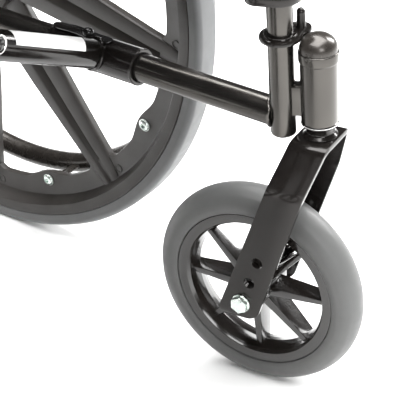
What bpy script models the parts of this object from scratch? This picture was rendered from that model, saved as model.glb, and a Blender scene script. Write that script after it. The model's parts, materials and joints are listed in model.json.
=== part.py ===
"""Folding manual wheelchair with solid 24-inch rear wheels and 8-inch casters.

Metres, +Z up, floor at z = 0, origin on the floor under the middle of the whole chair.
The chair faces -Y and +X is the occupant's left.
"""

import math

import bmesh
import bpy
from mathutils import Matrix, Vector

# ---------------------------------------------------------------- driving dimensions
HALF_WIDTH = 0.215        # centre plane to the plane of each side frame
GAP = 0.0003              # clearance between pieces that touch
MERGE = 1e-6              # points this close become one

POST_Y = -0.3409          # front post
POST_R = 0.0111
POST_BOTTOM = 0.2695
UPPER_RAIL_Z = 0.478
UPPER_BEND_R = 0.055

HINGE_LOBE = (0.0195, -0.0050)      # footrest hinge plate's lobe, outwards and back from the post
HINGE_LOBE_R = 0.0110
HINGE_PIN = (0.0195, -0.0071)
HINGE_PIN_R = 0.0030
HINGE_PIN_HEIGHT = 0.0180

LOWER_RAIL_Z = 0.2843
LOWER_RAIL_R = 0.0127

CANE_Y = 0.072            # back cane
CANE_BOTTOM = 0.258
CANE_TOP = 0.905          # centre line of the push handle
CANE_LEAN = 0.020         # how far the cane leans back above the seat
CANE_BEND_R = 0.045
HANDLE_END_Y = 0.238
GRIP_BORE_R = 0.0118

STEM_X = 0.22828          # caster stem axis
STEM_Y = -0.3692
HOUSING_R = 0.0161
HOUSING_Z = (0.2810, 0.3430)
CAP_TOP = 0.3617

CASTER_TURN = math.radians(8.7)   # how far the parked casters are swivelled outwards
CASTER_TRAIL = 0.0631
CASTER_R = 0.100
CASTER_HALF_WIDTH = 0.0182
FORK_HALF_WIDTH = 0.038            # outer faces of the legs at the axle
CROWN_HALF_WIDTH = 0.0233
CROWN_TOP = 0.2672
FORK_BAR = 0.005
FORK_BEND_Z = 0.2215               # where the legs stop flaring out
FORK_FOOT = -0.0155                # lower end of the legs, from the axle
AXLE_HOLES = (0.0, 0.025, 0.050)   # axle heights up the leg
CASTER_SPOKES = 8

REAR_X = 0.2903           # centre plane of the rear tyre
REAR_Y = 0.1003
REAR_R = 0.305
REAR_TYRE_R = 0.0134
AXLE_R = 0.0062
AXLE_BORE_R = 0.0067
HUB_HALF_WIDTH = 0.0300
HUB_R = 0.0300
HUB_DISC_R = 0.0715
WHEEL_BED_R = 0.2890               # where the tyre sits on the rim
HANDRIM_R = 0.261
HANDRIM_TUBE_R = 0.0105
HANDRIM_OFFSET = 0.050
REAR_SPOKES = 9
REAR_SPOKE_PHASE = math.radians(12.15)   # first spoke below the forward direction

SLEEVE_Y = (-0.1867, -0.0865)       # lower ends of the cross brace
SLEEVE_R = 0.0167
BRACE_R = 0.0135
BRACE_Y = {"a": -0.1407, "b": -0.1107}
BRACE_SLOPE = 0.515
SEAT_RAIL_X = 0.190
SEAT_RAIL_Z = 0.497
SEAT_RAIL_Y = (-0.292, 0.055)
SEAT_SLING_Y = (-0.285, 0.050)
SEAT_SLING_HALF = 0.201
SEAT_SAG = 0.012
SLING_THICK = 0.003
SLING_CLEAR = 0.0043               # from the tubes' surface to the middle of the cloth
SLING_STEPS = 14

BACK_SLING_Z = (0.545, 0.835)
BACK_SAG = 0.018

ARM_X = 0.243             # plane of the armrest tubes
ARM_R = 0.0095
ARM_SOCKET_R = 0.0135
ARM_BAR_R = 0.0065                 # lower and rear bars of the arm
ARM_BAR_Z = 0.512
PANEL_THICK = 0.003
ARM_TOP_Z = 0.700
ARM_FRONT_Y = -0.250
ARM_PIVOT_Y = 0.104
PAD_X = 0.260
PAD_Y = -0.088
PAD_SIZE = (0.046, 0.255, 0.024)

BRAKE_PIVOT = (-0.215, 0.468)      # lever pivot (y, z)
SHOE_PIVOT = (-0.185, 0.455)
SHOE_CENTRE = (-0.1634, 0.4897)
SHOE_R = 0.009
BRAKE_BOSS = 0.0400                # from the side frame's plane to the end of the bosses

WHEEL_STEPS = 40
CASTER_STEPS = 24

SIDE_FRAME_PIECES = (
    "side_tube",
    "lower_rail",
    "back_cane",
    "axle_plate",
    "seat_saddle_front",
    "seat_saddle_rear",
    "hanger_collar_lower",
    "hanger_collar_upper",
    "caster_housing",
    "caster_cap",
    "rear_axle",
    "push_grip",
    "brake_bracket",
)

PARTS = None
CUTTERS = None


# ---------------------------------------------------------------- scene and materials
def clear_scene():
    for obj in list(bpy.data.objects):
        bpy.data.objects.remove(obj, do_unlink=True)


def new_collection(name, hidden=False):
    collection = bpy.data.collections.new(name)
    bpy.context.scene.collection.children.link(collection)
    collection.hide_render = hidden
    return collection


def make_material(name, colour, roughness, metallic=0.0):
    material = bpy.data.materials.new(name)
    material.use_nodes = True
    shader = material.node_tree.nodes["Principled BSDF"]
    shader.inputs["Base Color"].default_value = (*colour, 1.0)
    shader.inputs["Roughness"].default_value = roughness
    shader.inputs["Metallic"].default_value = metallic
    return material


MATERIALS = {}


def make_materials():
    MATERIALS["frame"] = make_material("frame_paint", (0.10, 0.095, 0.09), 0.25, 0.6)
    MATERIALS["chrome"] = make_material("chrome", (0.75, 0.75, 0.74), 0.12, 1.0)
    MATERIALS["zinc"] = make_material("zinc", (0.62, 0.66, 0.62), 0.3, 1.0)
    MATERIALS["caster"] = make_material("caster_plastic", (0.02, 0.02, 0.02), 0.2)
    MATERIALS["wheel"] = make_material("wheel_plastic", (0.09, 0.085, 0.08), 0.5)
    MATERIALS["tyre"] = make_material("tyre_rubber", (0.16, 0.16, 0.16), 0.75)
    MATERIALS["plastic"] = make_material("black_plastic", (0.02, 0.02, 0.02), 0.4)
    MATERIALS["vinyl"] = make_material("black_vinyl", (0.025, 0.025, 0.027), 0.55)


def finish(obj, material, smooth=True):
    """Give a piece its material and shade its round faces smooth."""
    obj.data.materials.clear()
    obj.data.materials.append(MATERIALS[material])
    if smooth and obj.type == "MESH":
        obj.data.shade_smooth()
        obj.data.set_sharp_from_angle(angle=math.radians(35))
    return obj


def new_mesh_object(name, mesh, collection):
    obj = bpy.data.objects.new(name, mesh)
    collection.objects.link(obj)
    if collection is CUTTERS:
        obj.hide_render = True
        obj.display_type = "WIRE"
    return obj


# ---------------------------------------------------------------- shape helpers
def facing(axis):
    """Rotation that takes +Z to the given direction and keeps +X level where it can."""
    return Vector(axis).to_track_quat("Z", "Y").to_matrix().to_4x4()


def mesh_from(bm, name, collection):
    bmesh.ops.recalc_face_normals(bm, faces=bm.faces)
    mesh = bpy.data.meshes.new(name)
    bm.to_mesh(mesh)
    bm.free()
    return new_mesh_object(name, mesh, collection)


def cylinder(name, start, end, radius, collection, sides=16, phase=0.0, radius_end=None):
    """A solid cylinder, or a cone, between two points."""
    start = Vector(start)
    end = Vector(end)
    bm = bmesh.new()
    place = Matrix.Translation((start + end) / 2) @ facing(end - start)
    place = place @ Matrix.Rotation(phase, 4, "Z")
    bmesh.ops.create_cone(
        bm,
        cap_ends=True,
        segments=sides,
        radius1=radius,
        radius2=radius if radius_end is None else radius_end,
        depth=(end - start).length,
        matrix=place,
    )
    return mesh_from(bm, name, collection)


def box(name, low, high, collection, turn=None):
    """A box between two corners, which may be turned about its own centre."""
    low = Vector(low)
    high = Vector(high)
    size = high - low
    bm = bmesh.new()
    place = Matrix.Translation((low + high) / 2)
    if turn is not None:
        place = place @ turn
    place = place @ Matrix.Diagonal((*size, 1.0))
    bmesh.ops.create_cube(bm, size=1.0, matrix=place)
    return mesh_from(bm, name, collection)


def lathe(name, outline, steps, place, collection):
    """Screw a closed outline of (radius, height) points about the local Z axis.

    The outline runs anticlockwise, so that its reverse runs down the outer side.
    An edge that lies on the axis is left out, because it would sweep no surface.
    """
    profile = list(reversed(outline))
    count = len(profile)
    pairs = [(i, (i + 1) % count) for i in range(count)]
    edges = [(i, j) for i, j in pairs if profile[i][0] > 0 or profile[j][0] > 0]
    mesh = bpy.data.meshes.new(name)
    mesh.from_pydata([(r, 0.0, z) for r, z in profile], edges, [])
    obj = new_mesh_object(name, mesh, collection)
    obj.matrix_world = place
    screw = obj.modifiers.new("turn", "SCREW")
    screw.axis = "Z"
    screw.angle = 2 * math.pi
    screw.steps = steps
    screw.render_steps = steps
    screw.use_merge_vertices = True
    screw.merge_threshold = MERGE
    return obj


def tube(name, points, radius, collection, sides=12):
    """A round tube along a smooth list of points, as a welded mesh."""
    curve = bpy.data.curves.new(name + "_path", "CURVE")
    curve.dimensions = "3D"
    curve.bevel_depth = radius
    curve.bevel_resolution = (sides - 4) // 2
    curve.use_fill_caps = True
    spline = curve.splines.new("POLY")
    spline.points.add(len(points) - 1)
    for point, place in zip(spline.points, points):
        point.co = (*place, 1.0)
    guide = bpy.data.objects.new(name + "_path", curve)
    bpy.context.scene.collection.objects.link(guide)
    bpy.context.view_layer.update()
    graph = bpy.context.evaluated_depsgraph_get()
    mesh = bpy.data.meshes.new_from_object(guide.evaluated_get(graph))
    bm = bmesh.new()
    bm.from_mesh(mesh)
    bmesh.ops.remove_doubles(bm, verts=bm.verts, dist=MERGE)
    bpy.data.objects.remove(guide, do_unlink=True)
    bpy.data.meshes.remove(mesh)
    bpy.data.curves.remove(curve)
    return mesh_from(bm, name, collection)


def bent_path(corners, steps=5):
    """Points along straight runs joined by arcs. Each corner is (point, bend radius)."""
    points = [Vector(corners[0][0])]
    for index in range(1, len(corners) - 1):
        here = Vector(corners[index][0])
        back = (Vector(corners[index - 1][0]) - here).normalized()
        ahead = (Vector(corners[index + 1][0]) - here).normalized()
        radius = corners[index][1]
        half = back.angle(ahead) / 2
        reach = radius / math.tan(half)
        centre = here + (back + ahead).normalized() * radius / math.sin(half)
        first = here + back * reach - centre
        last = here + ahead * reach - centre
        whole = first.angle(last)
        for step in range(steps + 1):
            share = step / steps
            a = math.sin((1 - share) * whole) / math.sin(whole)
            b = math.sin(share * whole) / math.sin(whole)
            points.append(centre + first * a + last * b)
    points.append(Vector(corners[-1][0]))
    return points


def combine(obj, others, operation="UNION", solver="EXACT"):
    """Join or cut a piece with helper meshes, by Boolean modifiers that stay on it."""
    for other in others:
        modifier = obj.modifiers.new(operation.lower(), "BOOLEAN")
        modifier.operation = operation
        modifier.solver = solver
        modifier.object = other
    return obj


def cut(obj, others, solver="EXACT"):
    return combine(obj, others, "DIFFERENCE", solver)


def helper(name):
    return "cutter_" + name


# ---------------------------------------------------------------- side frames
def side_name(side):
    return "left" if side > 0 else "right"


def make_side_frame(side):
    """Front post bent into the upper rail, lower rail, back cane, axle plate and saddles."""
    tag = side_name(side)
    x = side * HALF_WIDTH
    path = bent_path(
        [
            ((x, POST_Y, POST_BOTTOM), 0),
            ((x, POST_Y, UPPER_RAIL_Z), UPPER_BEND_R),
            ((x, CANE_Y - POST_R - GAP, UPPER_RAIL_Z), 0),
        ]
    )
    frame_tube = tube("side_tube_" + tag, path, POST_R, PARTS)
    socket_z = (UPPER_RAIL_Z - 0.040, UPPER_RAIL_Z + 0.012)
    arm = side * ARM_X
    socket = cylinder(
        helper("socket"),
        (arm, ARM_FRONT_Y, socket_z[0]),
        (arm, ARM_FRONT_Y, socket_z[1]),
        ARM_SOCKET_R,
        CUTTERS,
    )
    lug = box(
        helper("lug"),
        (min(x, arm), ARM_FRONT_Y - 0.004, UPPER_RAIL_Z - 0.010),
        (max(x, arm), ARM_FRONT_Y + 0.004, UPPER_RAIL_Z + 0.006),
        CUTTERS,
    )
    combine(frame_tube, [socket, lug])
    bore = cylinder(
        helper("bore"),
        (arm, ARM_FRONT_Y, socket_z[0] + 0.004),
        (arm, ARM_FRONT_Y, socket_z[1] + 0.010),
        ARM_R + 0.0005,
        CUTTERS,
    )
    cut(frame_tube, [bore])
    finish(frame_tube, "frame")

    rail = cylinder(
        "lower_rail_" + tag,
        (x, POST_Y + 0.004, LOWER_RAIL_Z),
        (x, CANE_Y - 0.004, LOWER_RAIL_Z),
        LOWER_RAIL_R,
        PARTS,
        sides=20,
    )
    ends = [
        cylinder(helper("post"), (x, POST_Y, 0.20), (x, POST_Y, 0.40), POST_R + GAP, CUTTERS, 24),
        cylinder(helper("cane"), (x, CANE_Y, 0.20), (x, CANE_Y, 0.40), POST_R + GAP, CUTTERS, 24),
    ]
    cut(rail, ends)
    finish(rail, "frame")

    cane = make_cane(side, tag, x)
    finish(cane, "frame")
    make_axle_plate(side, tag)
    for place, y in (("front", -0.232), ("rear", 0.012)):
        make_saddle(side, tag, place, y)


def make_cane(side, tag, x):
    lean_top = CANE_Y + CANE_LEAN
    path = bent_path(
        [
            ((x, CANE_Y, CANE_BOTTOM), 0),
            ((x, CANE_Y, 0.560), 0.200),
            ((x, lean_top, CANE_TOP), CANE_BEND_R),
            ((x, HANDLE_END_Y, CANE_TOP), 0),
        ]
    )
    cane = tube("back_cane_" + tag, path, POST_R, PARTS)
    near = x + side * 0.004
    far = side * (ARM_X - ARM_R - GAP)
    tab = box(
        helper("tab"),
        (min(near, far), CANE_Y + 0.004, ARM_TOP_Z - 0.013),
        (max(near, far), ARM_PIVOT_Y + 0.010, ARM_TOP_Z + 0.013),
        CUTTERS,
    )
    combine(cane, [tab])
    return cane


def make_axle_plate(side, tag):
    """Plate on the outside of the rear tubes, with the tube that receives the rear axle."""
    inner = side * (HALF_WIDTH + LOWER_RAIL_R + GAP)
    outer = inner + side * 0.005
    plate = box(
        "axle_plate_" + tag,
        (min(inner, outer), CANE_Y - 0.020, 0.268),
        (max(inner, outer), REAR_Y + 0.026, 0.352),
        PARTS,
    )
    receiver = cylinder(
        helper("receiver"),
        (outer - side * 0.002, REAR_Y, REAR_R),
        (side * (REAR_X - 0.0305), REAR_Y, REAR_R),
        0.0135,
        CUTTERS,
        20,
    )
    combine(plate, [receiver])
    bore = cylinder(
        helper("axle_bore"),
        (inner - side * 0.01, REAR_Y, REAR_R),
        (side * REAR_X, REAR_Y, REAR_R),
        AXLE_BORE_R,
        CUTTERS,
        20,
    )
    cut(plate, [bore])
    finish(plate, "frame")


def make_saddle(side, tag, place, y):
    """Moulded block on the side frame, with the trough that the seat rail drops into."""
    outer = side * (HALF_WIDTH - POST_R - GAP)
    inner = side * (SEAT_RAIL_X - 0.0140)
    saddle = box(
        "seat_saddle_{}_{}".format(place, tag),
        (min(inner, outer), y - 0.014, UPPER_RAIL_Z - 0.008),
        (max(inner, outer), y + 0.014, SEAT_RAIL_Z + 0.001),
        PARTS,
    )
    trough = cylinder(
        helper("trough"),
        (side * SEAT_RAIL_X, y - 0.03, SEAT_RAIL_Z),
        (side * SEAT_RAIL_X, y + 0.03, SEAT_RAIL_Z),
        POST_R + 0.0006,
        CUTTERS,
        20,
    )
    cut(saddle, [trough])
    finish(saddle, "plastic")


# ---------------------------------------------------------------- front fittings
def make_front_fittings(side):
    """Footrest hinge collars, caster housing and its cap."""
    tag = side_name(side)
    x = side * HALF_WIDTH
    for name, z, outer in (("lower", 0.3575, 0.0180), ("upper", 0.3960, 0.0200)):
        half = 0.0018 if name == "lower" else 0.0045
        profile = [(POST_R + GAP, -half), (outer, -half), (outer, half), (POST_R + GAP, half)]
        collar = lathe(
            "hanger_collar_{}_{}".format(name, tag),
            profile,
            20,
            Matrix.Translation((x, POST_Y, z)),
            PARTS,
        )
        if name == "lower":
            lobe_x = x + side * HINGE_LOBE[0]
            lobe_y = POST_Y + HINGE_LOBE[1]
            lobe = cylinder(
                helper("lobe"),
                (lobe_x, lobe_y, z - half),
                (lobe_x, lobe_y, z + half),
                HINGE_LOBE_R,
                CUTTERS,
                20,
            )
            pin_x = x + side * HINGE_PIN[0]
            pin_y = POST_Y + HINGE_PIN[1]
            pin = cylinder(
                helper("pin"),
                (pin_x, pin_y, z),
                (pin_x, pin_y, z + HINGE_PIN_HEIGHT),
                HINGE_PIN_R,
                CUTTERS,
                12,
            )
            combine(collar, [lobe, pin])
        else:
            ear = cylinder(
                helper("ear"),
                (x - side * 0.012, POST_Y + 0.010, z - half),
                (x - side * 0.012, POST_Y + 0.010, z + half),
                0.0130,
                CUTTERS,
                20,
            )
            combine(collar, [ear])
        post = cylinder(
            helper("post"), (x, POST_Y, z - 0.05), (x, POST_Y, z + 0.05), POST_R + GAP, CUTTERS, 28
        )
        cut(collar, [post])
        finish(collar, "frame")

    stem = side * STEM_X
    housing = lathe(
        "caster_housing_" + tag,
        [
            (0.0090, 0.0),
            (HOUSING_R, 0.0),
            (HOUSING_R, HOUSING_Z[1] - HOUSING_Z[0]),
            (0.0090, HOUSING_Z[1] - HOUSING_Z[0]),
        ],
        20,
        Matrix.Translation((stem, STEM_Y, HOUSING_Z[0])),
        PARTS,
    )
    towards = Vector((x - stem, POST_Y - STEM_Y, 0.0))
    turn = Matrix.Rotation(math.atan2(towards.y, towards.x), 4, "Z")
    middle = Vector((stem, STEM_Y, 0.3000)) + towards * 0.60
    half = Vector((towards.length * 0.24, 0.006, 0.0135))
    web = box(helper("web"), middle - half, middle + half, CUTTERS, turn)
    combine(housing, [web])
    cut(
        housing,
        [cylinder(helper("post"), (x, POST_Y, 0.2), (x, POST_Y, 0.45), POST_R + GAP, CUTTERS, 28)],
    )
    finish(housing, "frame")

    base = HOUSING_Z[1] + GAP
    skirt = 0.0035
    dome_r = 0.0160
    outline = [(0.0, base), (0.0174, base), (0.0174, base + skirt)]
    rise = CAP_TOP - base - skirt
    for step in range(4):
        angle = math.pi / 2 * step / 4
        outline.append((dome_r * math.cos(angle), base + skirt + rise * math.sin(angle)))
    outline.append((0.0, CAP_TOP))
    cap = lathe("caster_cap_" + tag, outline, 20, Matrix.Translation((stem, STEM_Y, 0)), PARTS)
    finish(cap, "plastic")


# ---------------------------------------------------------------- casters
def caster_frame(side):
    """Local frame of a caster: X across the wheel, outwards, Y backwards, origin at the axle."""
    turn = side * CASTER_TURN
    across = Vector((math.cos(turn), math.sin(turn), 0.0))
    back = Vector((-math.sin(turn), math.cos(turn), 0.0))
    stem = Vector((side * STEM_X, STEM_Y, 0.0))
    centre = stem + back * CASTER_TRAIL
    centre.z = CASTER_R
    place = Matrix.Identity(4)
    place.col[0][:3] = across
    place.col[1][:3] = back
    place.col[3][:3] = centre
    return place


def make_caster(side):
    tag = side_name(side)
    place = caster_frame(side)
    make_fork(side, tag, place)
    make_stem(side, tag)
    make_caster_axle(tag, place)
    make_caster_wheel(tag, place)


def leg_y(z):
    """How far in front of the axle the middle of a leg is at a height over the axle."""
    return -CASTER_TRAIL * z / (CROWN_TOP - CASTER_R)


def make_fork(side, tag, place):
    """Flat bar bent into a crown and two legs that flare out, then run straight down."""
    top = CROWN_TOP - CASTER_R
    bend = FORK_BEND_Z - CASTER_R
    foot = FORK_FOOT
    wide = FORK_HALF_WIDTH
    narrow = CROWN_HALF_WIDTH
    bar = FORK_BAR
    outer = [(wide, foot), (wide, bend), (narrow + 0.002, top - 0.005), (narrow - 0.003, top)]
    inner = [(wide - bar, foot), (wide - bar, bend + 0.001), (narrow - bar - 0.001, top - bar)]
    outline = outer + [(-a, z) for a, z in reversed(outer)]
    outline += [(-a, z) for a, z in inner] + [(a, z) for a, z in reversed(inner)]
    bm = bmesh.new()
    face = bm.faces.new([bm.verts.new((a, 0.0, z)) for a, z in outline])
    made = bmesh.ops.extrude_face_region(bm, geom=[face])
    rear = [item for item in made["geom"] if isinstance(item, bmesh.types.BMVert)]
    front = [vert for vert in bm.verts if vert not in rear]
    for verts, way in ((front, -1.0), (rear, 1.0)):
        for vert in verts:
            half = 0.0174 + 0.0022 * (top - vert.co.z) / (top - foot)
            vert.co.y = leg_y(vert.co.z) + way * half
    bmesh.ops.transform(bm, matrix=place, verts=bm.verts)
    fork = mesh_from(bm, "caster_fork_" + tag, PARTS)
    holes = []
    for up in AXLE_HOLES:
        z = up * math.cos(math.atan2(CASTER_TRAIL, top))
        a = place @ Vector((-0.06, leg_y(z), z))
        b = place @ Vector((0.06, leg_y(z), z))
        holes.append(cylinder(helper("hole"), a, b, 0.0044, CUTTERS, 12))
    stem_hole = cylinder(
        helper("stem_hole"),
        (side * STEM_X, STEM_Y, CROWN_TOP - 0.02),
        (side * STEM_X, STEM_Y, CROWN_TOP + 0.02),
        0.0053,
        CUTTERS,
        12,
    )
    cut(fork, holes + [stem_hole])
    finish(fork, "frame")


def make_stem(side, tag):
    """Stem bolt under the crown, bearing seat above it and the shank inside the housing."""
    base = CROWN_TOP
    outline = [
        (0.0, base - 0.0085),
        (0.0085, base - 0.0085),
        (0.0085, base - FORK_BAR - GAP),
        (0.0050, base - FORK_BAR - GAP),
        (0.0050, base + GAP),
        (0.0145, base + GAP),
        (0.0152, HOUSING_Z[0] - 0.0022),
        (0.0163, HOUSING_Z[0] - 0.0015),
        (0.0163, HOUSING_Z[0] - GAP),
        (0.0070, HOUSING_Z[0] - GAP),
        (0.0070, HOUSING_Z[1] - 0.004),
        (0.0, HOUSING_Z[1] - 0.004),
    ]
    stem = lathe(
        "caster_stem_" + tag, outline, 14, Matrix.Translation((side * STEM_X, STEM_Y, 0)), PARTS
    )
    finish(stem, "zinc")


def make_caster_axle(tag, place):
    """Bolt through both legs and the hub, with a hexagon head and a nut."""
    reach = FORK_HALF_WIDTH + GAP
    start = place @ Vector((-reach - 0.0053, 0, 0))
    end = place @ Vector((reach + 0.0053, 0, 0))
    bolt = cylinder("caster_axle_" + tag, start, end, 0.0040, PARTS, 12)
    caps = []
    for way in (-1, 1):
        near = place @ Vector((way * reach, 0, 0))
        far = place @ Vector((way * (reach + 0.0053), 0, 0))
        caps.append(cylinder(helper("head"), near, far, 0.0075, CUTTERS, 6))
    for way in (-1, 1):
        # spacers that keep the hub in the middle of the fork
        near = place @ Vector((way * (FORK_HALF_WIDTH - FORK_BAR - GAP), 0, 0))
        far = place @ Vector((way * 0.0255, 0, 0))
        caps.append(cylinder(helper("spacer"), near, far, 0.0070, CUTTERS, 12))
    combine(bolt, caps)
    finish(bolt, "zinc")


def wheel_place(centre, axle, phase):
    """Frame of a wheel: local Z along the axle, turned so that a flat stands on the floor."""
    z = Vector(axle).normalized()
    x = Vector((0, 0, -1)) - z * z.dot(Vector((0, 0, -1)))
    x.normalize()
    y = z.cross(x)
    place = Matrix.Identity(4)
    place.col[0][:3] = x
    place.col[1][:3] = y
    place.col[2][:3] = z
    place.col[3][:3] = Vector(centre)
    return place @ Matrix.Rotation(phase, 4, "Z")


def arc_profile(centre_r, centre_z, radius_r, radius_z, start, end, steps):
    """Points on an ellipse in the (radius, height) plane, angles in degrees."""
    points = []
    for step in range(steps + 1):
        angle = math.radians(start + (end - start) * step / steps)
        points.append((centre_r + radius_r * math.cos(angle), centre_z + radius_z * math.sin(angle)))
    return points


def make_caster_wheel(tag, place):
    centre = place.translation
    across = place.col[0].to_3d()
    flat = 1 / math.cos(math.pi / CASTER_STEPS)
    stand = wheel_place(centre, across, math.pi / CASTER_STEPS)
    bed = 0.0772
    half = CASTER_HALF_WIDTH
    tread = arc_profile(CASTER_R * flat - half, 0, half, half, -68, 68, 4)
    outline = [(bed + GAP, -0.0150)] + tread + [(bed + GAP, 0.0150)]
    tyre = lathe("caster_tyre_" + tag, outline, CASTER_STEPS, stand, PARTS)
    finish(tyre, "tyre")

    ring = [(0.0660, -0.0135), (bed, -0.0152), (bed, 0.0152), (0.0660, 0.0135), (0.0630, 0.0)]
    rim = lathe("caster_rim_" + tag, ring, CASTER_STEPS, stand, PARTS)
    pieces = [
        cylinder(
            helper("hub"), centre - across * 0.0250, centre + across * 0.0250, 0.0145, CUTTERS, 20
        )
    ]
    down = wheel_place(centre, across, 0.0)
    for spoke in range(CASTER_SPOKES):
        turn = down @ Matrix.Rotation(2 * math.pi * spoke / CASTER_SPOKES, 4, "Z")
        pieces.append(tapered_bar(turn, (0.010, 0.0660), (0.0042, 0.0028), (0.0125, 0.0085), 0.0))
    combine(rim, pieces)
    bore = cylinder(
        helper("bore"), centre - across * 0.04, centre + across * 0.04, 0.0044, CUTTERS, 12
    )
    cut(rim, [bore])
    finish(rim, "caster")


def tapered_bar(place, span, half_width, half_depth, offset):
    """A spoke along local X from span[0] to span[1], with its widths at both ends."""
    bm = bmesh.new()
    bmesh.ops.create_cube(bm, size=1.0)
    for vert in bm.verts:
        end = 1 if vert.co.x > 0 else 0
        vert.co.y = math.copysign(half_width[end], vert.co.y)
        vert.co.z = math.copysign(half_depth[end], vert.co.z) + offset
        vert.co.x = span[end]
    bmesh.ops.transform(bm, matrix=place, verts=bm.verts)
    return mesh_from(bm, helper("bar"), CUTTERS)


# ---------------------------------------------------------------- rear wheels
def make_rear_wheel(side):
    tag = side_name(side)
    centre = Vector((side * REAR_X, REAR_Y, REAR_R))
    axle = Vector((side, 0, 0))
    stand = wheel_place(centre, axle, math.pi / WHEEL_STEPS)
    flat = 1 / math.cos(math.pi / WHEEL_STEPS)
    bed = WHEEL_BED_R
    tread_r = REAR_TYRE_R
    tread = arc_profile(REAR_R * flat - tread_r, 0, tread_r, tread_r, -80, 80, 4)
    outline = [(bed + GAP, -0.0120)] + tread + [(bed + GAP, 0.0120)]
    tyre = lathe("rear_tyre_" + tag, outline, WHEEL_STEPS, stand, PARTS)
    finish(tyre, "tyre")

    ring = [
        (0.2740, -0.0020),
        (0.2805, -0.0135),
        (bed, -0.0135),
        (bed, 0.0135),
        (0.2800, 0.0135),
        (0.2740, 0.0070),
        (0.2500, 0.0070),
        (0.2500, 0.0000),
    ]
    rim = lathe("rear_rim_" + tag, ring, WHEEL_STEPS, stand, PARTS)
    hub_inner = centre - axle * HUB_HALF_WIDTH
    hub_outer = centre + axle * HUB_HALF_WIDTH
    disc_inner = centre - axle * 0.012
    disc_outer = centre + axle * 0.014
    pieces = [
        cylinder(helper("hub"), hub_inner, hub_outer, HUB_R, CUTTERS, 24),
        cylinder(helper("disc"), disc_inner, disc_outer, HUB_DISC_R, CUTTERS, 27),
    ]
    for spoke in range(REAR_SPOKES):
        pieces.append(rear_spoke(side, centre, spoke))
    combine(rim, pieces, solver="MANIFOLD")
    bore = cylinder(
        helper("bore"), centre - axle * 0.05, centre + axle * 0.05, AXLE_BORE_R, CUTTERS, 20
    )
    cut(rim, [bore], solver="MANIFOLD")
    finish(rim, "wheel")

    make_handrim(side, tag, centre, stand)
    make_rear_axle(side, tag, centre)


def spoke_frame(side, centre, angle):
    """Frame with X along a direction in the wheel's plane, given below the forward direction."""
    along = Vector((0, -math.cos(angle), -math.sin(angle)))
    out = Vector((side, 0, 0))
    place = Matrix.Identity(4)
    place.col[0][:3] = along
    place.col[1][:3] = out.cross(along)
    place.col[2][:3] = out
    place.col[3][:3] = centre
    return place


def rear_spoke(side, centre, index):
    angle = REAR_SPOKE_PHASE + 2 * math.pi * index / REAR_SPOKES
    place = spoke_frame(side, centre, angle)
    return tapered_bar(place, (0.045, 0.2560), (0.0264, 0.0160), (0.0060, 0.0060), 0.0040)


def make_handrim(side, tag, centre, stand):
    """Tube ring outside the wheel, on a flat tab from the web between each pair of spokes."""
    shift = stand @ Matrix.Translation((0, 0, HANDRIM_OFFSET))
    outline = arc_profile(HANDRIM_R, 0, HANDRIM_TUBE_R, HANDRIM_TUBE_R, 0, 300, 5)
    ring = lathe("handrim_" + tag, outline, WHEEL_STEPS, shift, PARTS)
    tabs = []
    for index in range(REAR_SPOKES):
        angle = REAR_SPOKE_PHASE + 2 * math.pi * (index + 0.5) / REAR_SPOKES
        place = spoke_frame(side, centre, angle) @ Matrix.Translation((0.2600, 0, 0))
        leg = ((-0.0016, -0.0100, 0.0076), (0.0016, 0.0100, HANDRIM_OFFSET - 0.004))
        foot = ((-0.0085, -0.0098, 0.0070 + GAP), (0.0010, 0.0098, 0.0104))
        for low, high in (leg, foot):
            tab = box(helper("tab"), low, high, CUTTERS)
            tab.data.transform(place)
            tabs.append(tab)
    combine(ring, tabs)
    finish(ring, "frame")


def make_rear_axle(side, tag, centre):
    """Axle bolt through the receiver and the hub, with a washer and a cap nut outside."""
    hub_face = centre.x + side * (HUB_HALF_WIDTH + GAP)
    axle = cylinder(
        "rear_axle_" + tag,
        (side * (HALF_WIDTH + LOWER_RAIL_R - 0.006), REAR_Y, REAR_R),
        (hub_face + side * 0.004, REAR_Y, REAR_R),
        AXLE_R,
        PARTS,
        16,
    )
    parts = [
        cylinder(
            helper("nut"),
            (side * (HALF_WIDTH + LOWER_RAIL_R), REAR_Y, REAR_R),
            (side * (HALF_WIDTH + LOWER_RAIL_R - 0.009), REAR_Y, REAR_R),
            0.0105,
            CUTTERS,
            6,
        ),
        cylinder(
            helper("washer"),
            (hub_face, REAR_Y, REAR_R),
            (hub_face + side * 0.0025, REAR_Y, REAR_R),
            0.0150,
            CUTTERS,
            20,
        ),
        cylinder(
            helper("cap"),
            (hub_face + side * 0.002, REAR_Y, REAR_R),
            (hub_face + side * 0.0125, REAR_Y, REAR_R),
            0.0110,
            CUTTERS,
            6,
        ),
    ]
    combine(axle, parts)
    finish(axle, "zinc")


# ---------------------------------------------------------------- cross brace and seat
def brace_point(side, x):
    """Centre line of the member whose foot is on the given side."""
    return LOWER_RAIL_Z + BRACE_SLOPE * abs(side * HALF_WIDTH - x)


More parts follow.
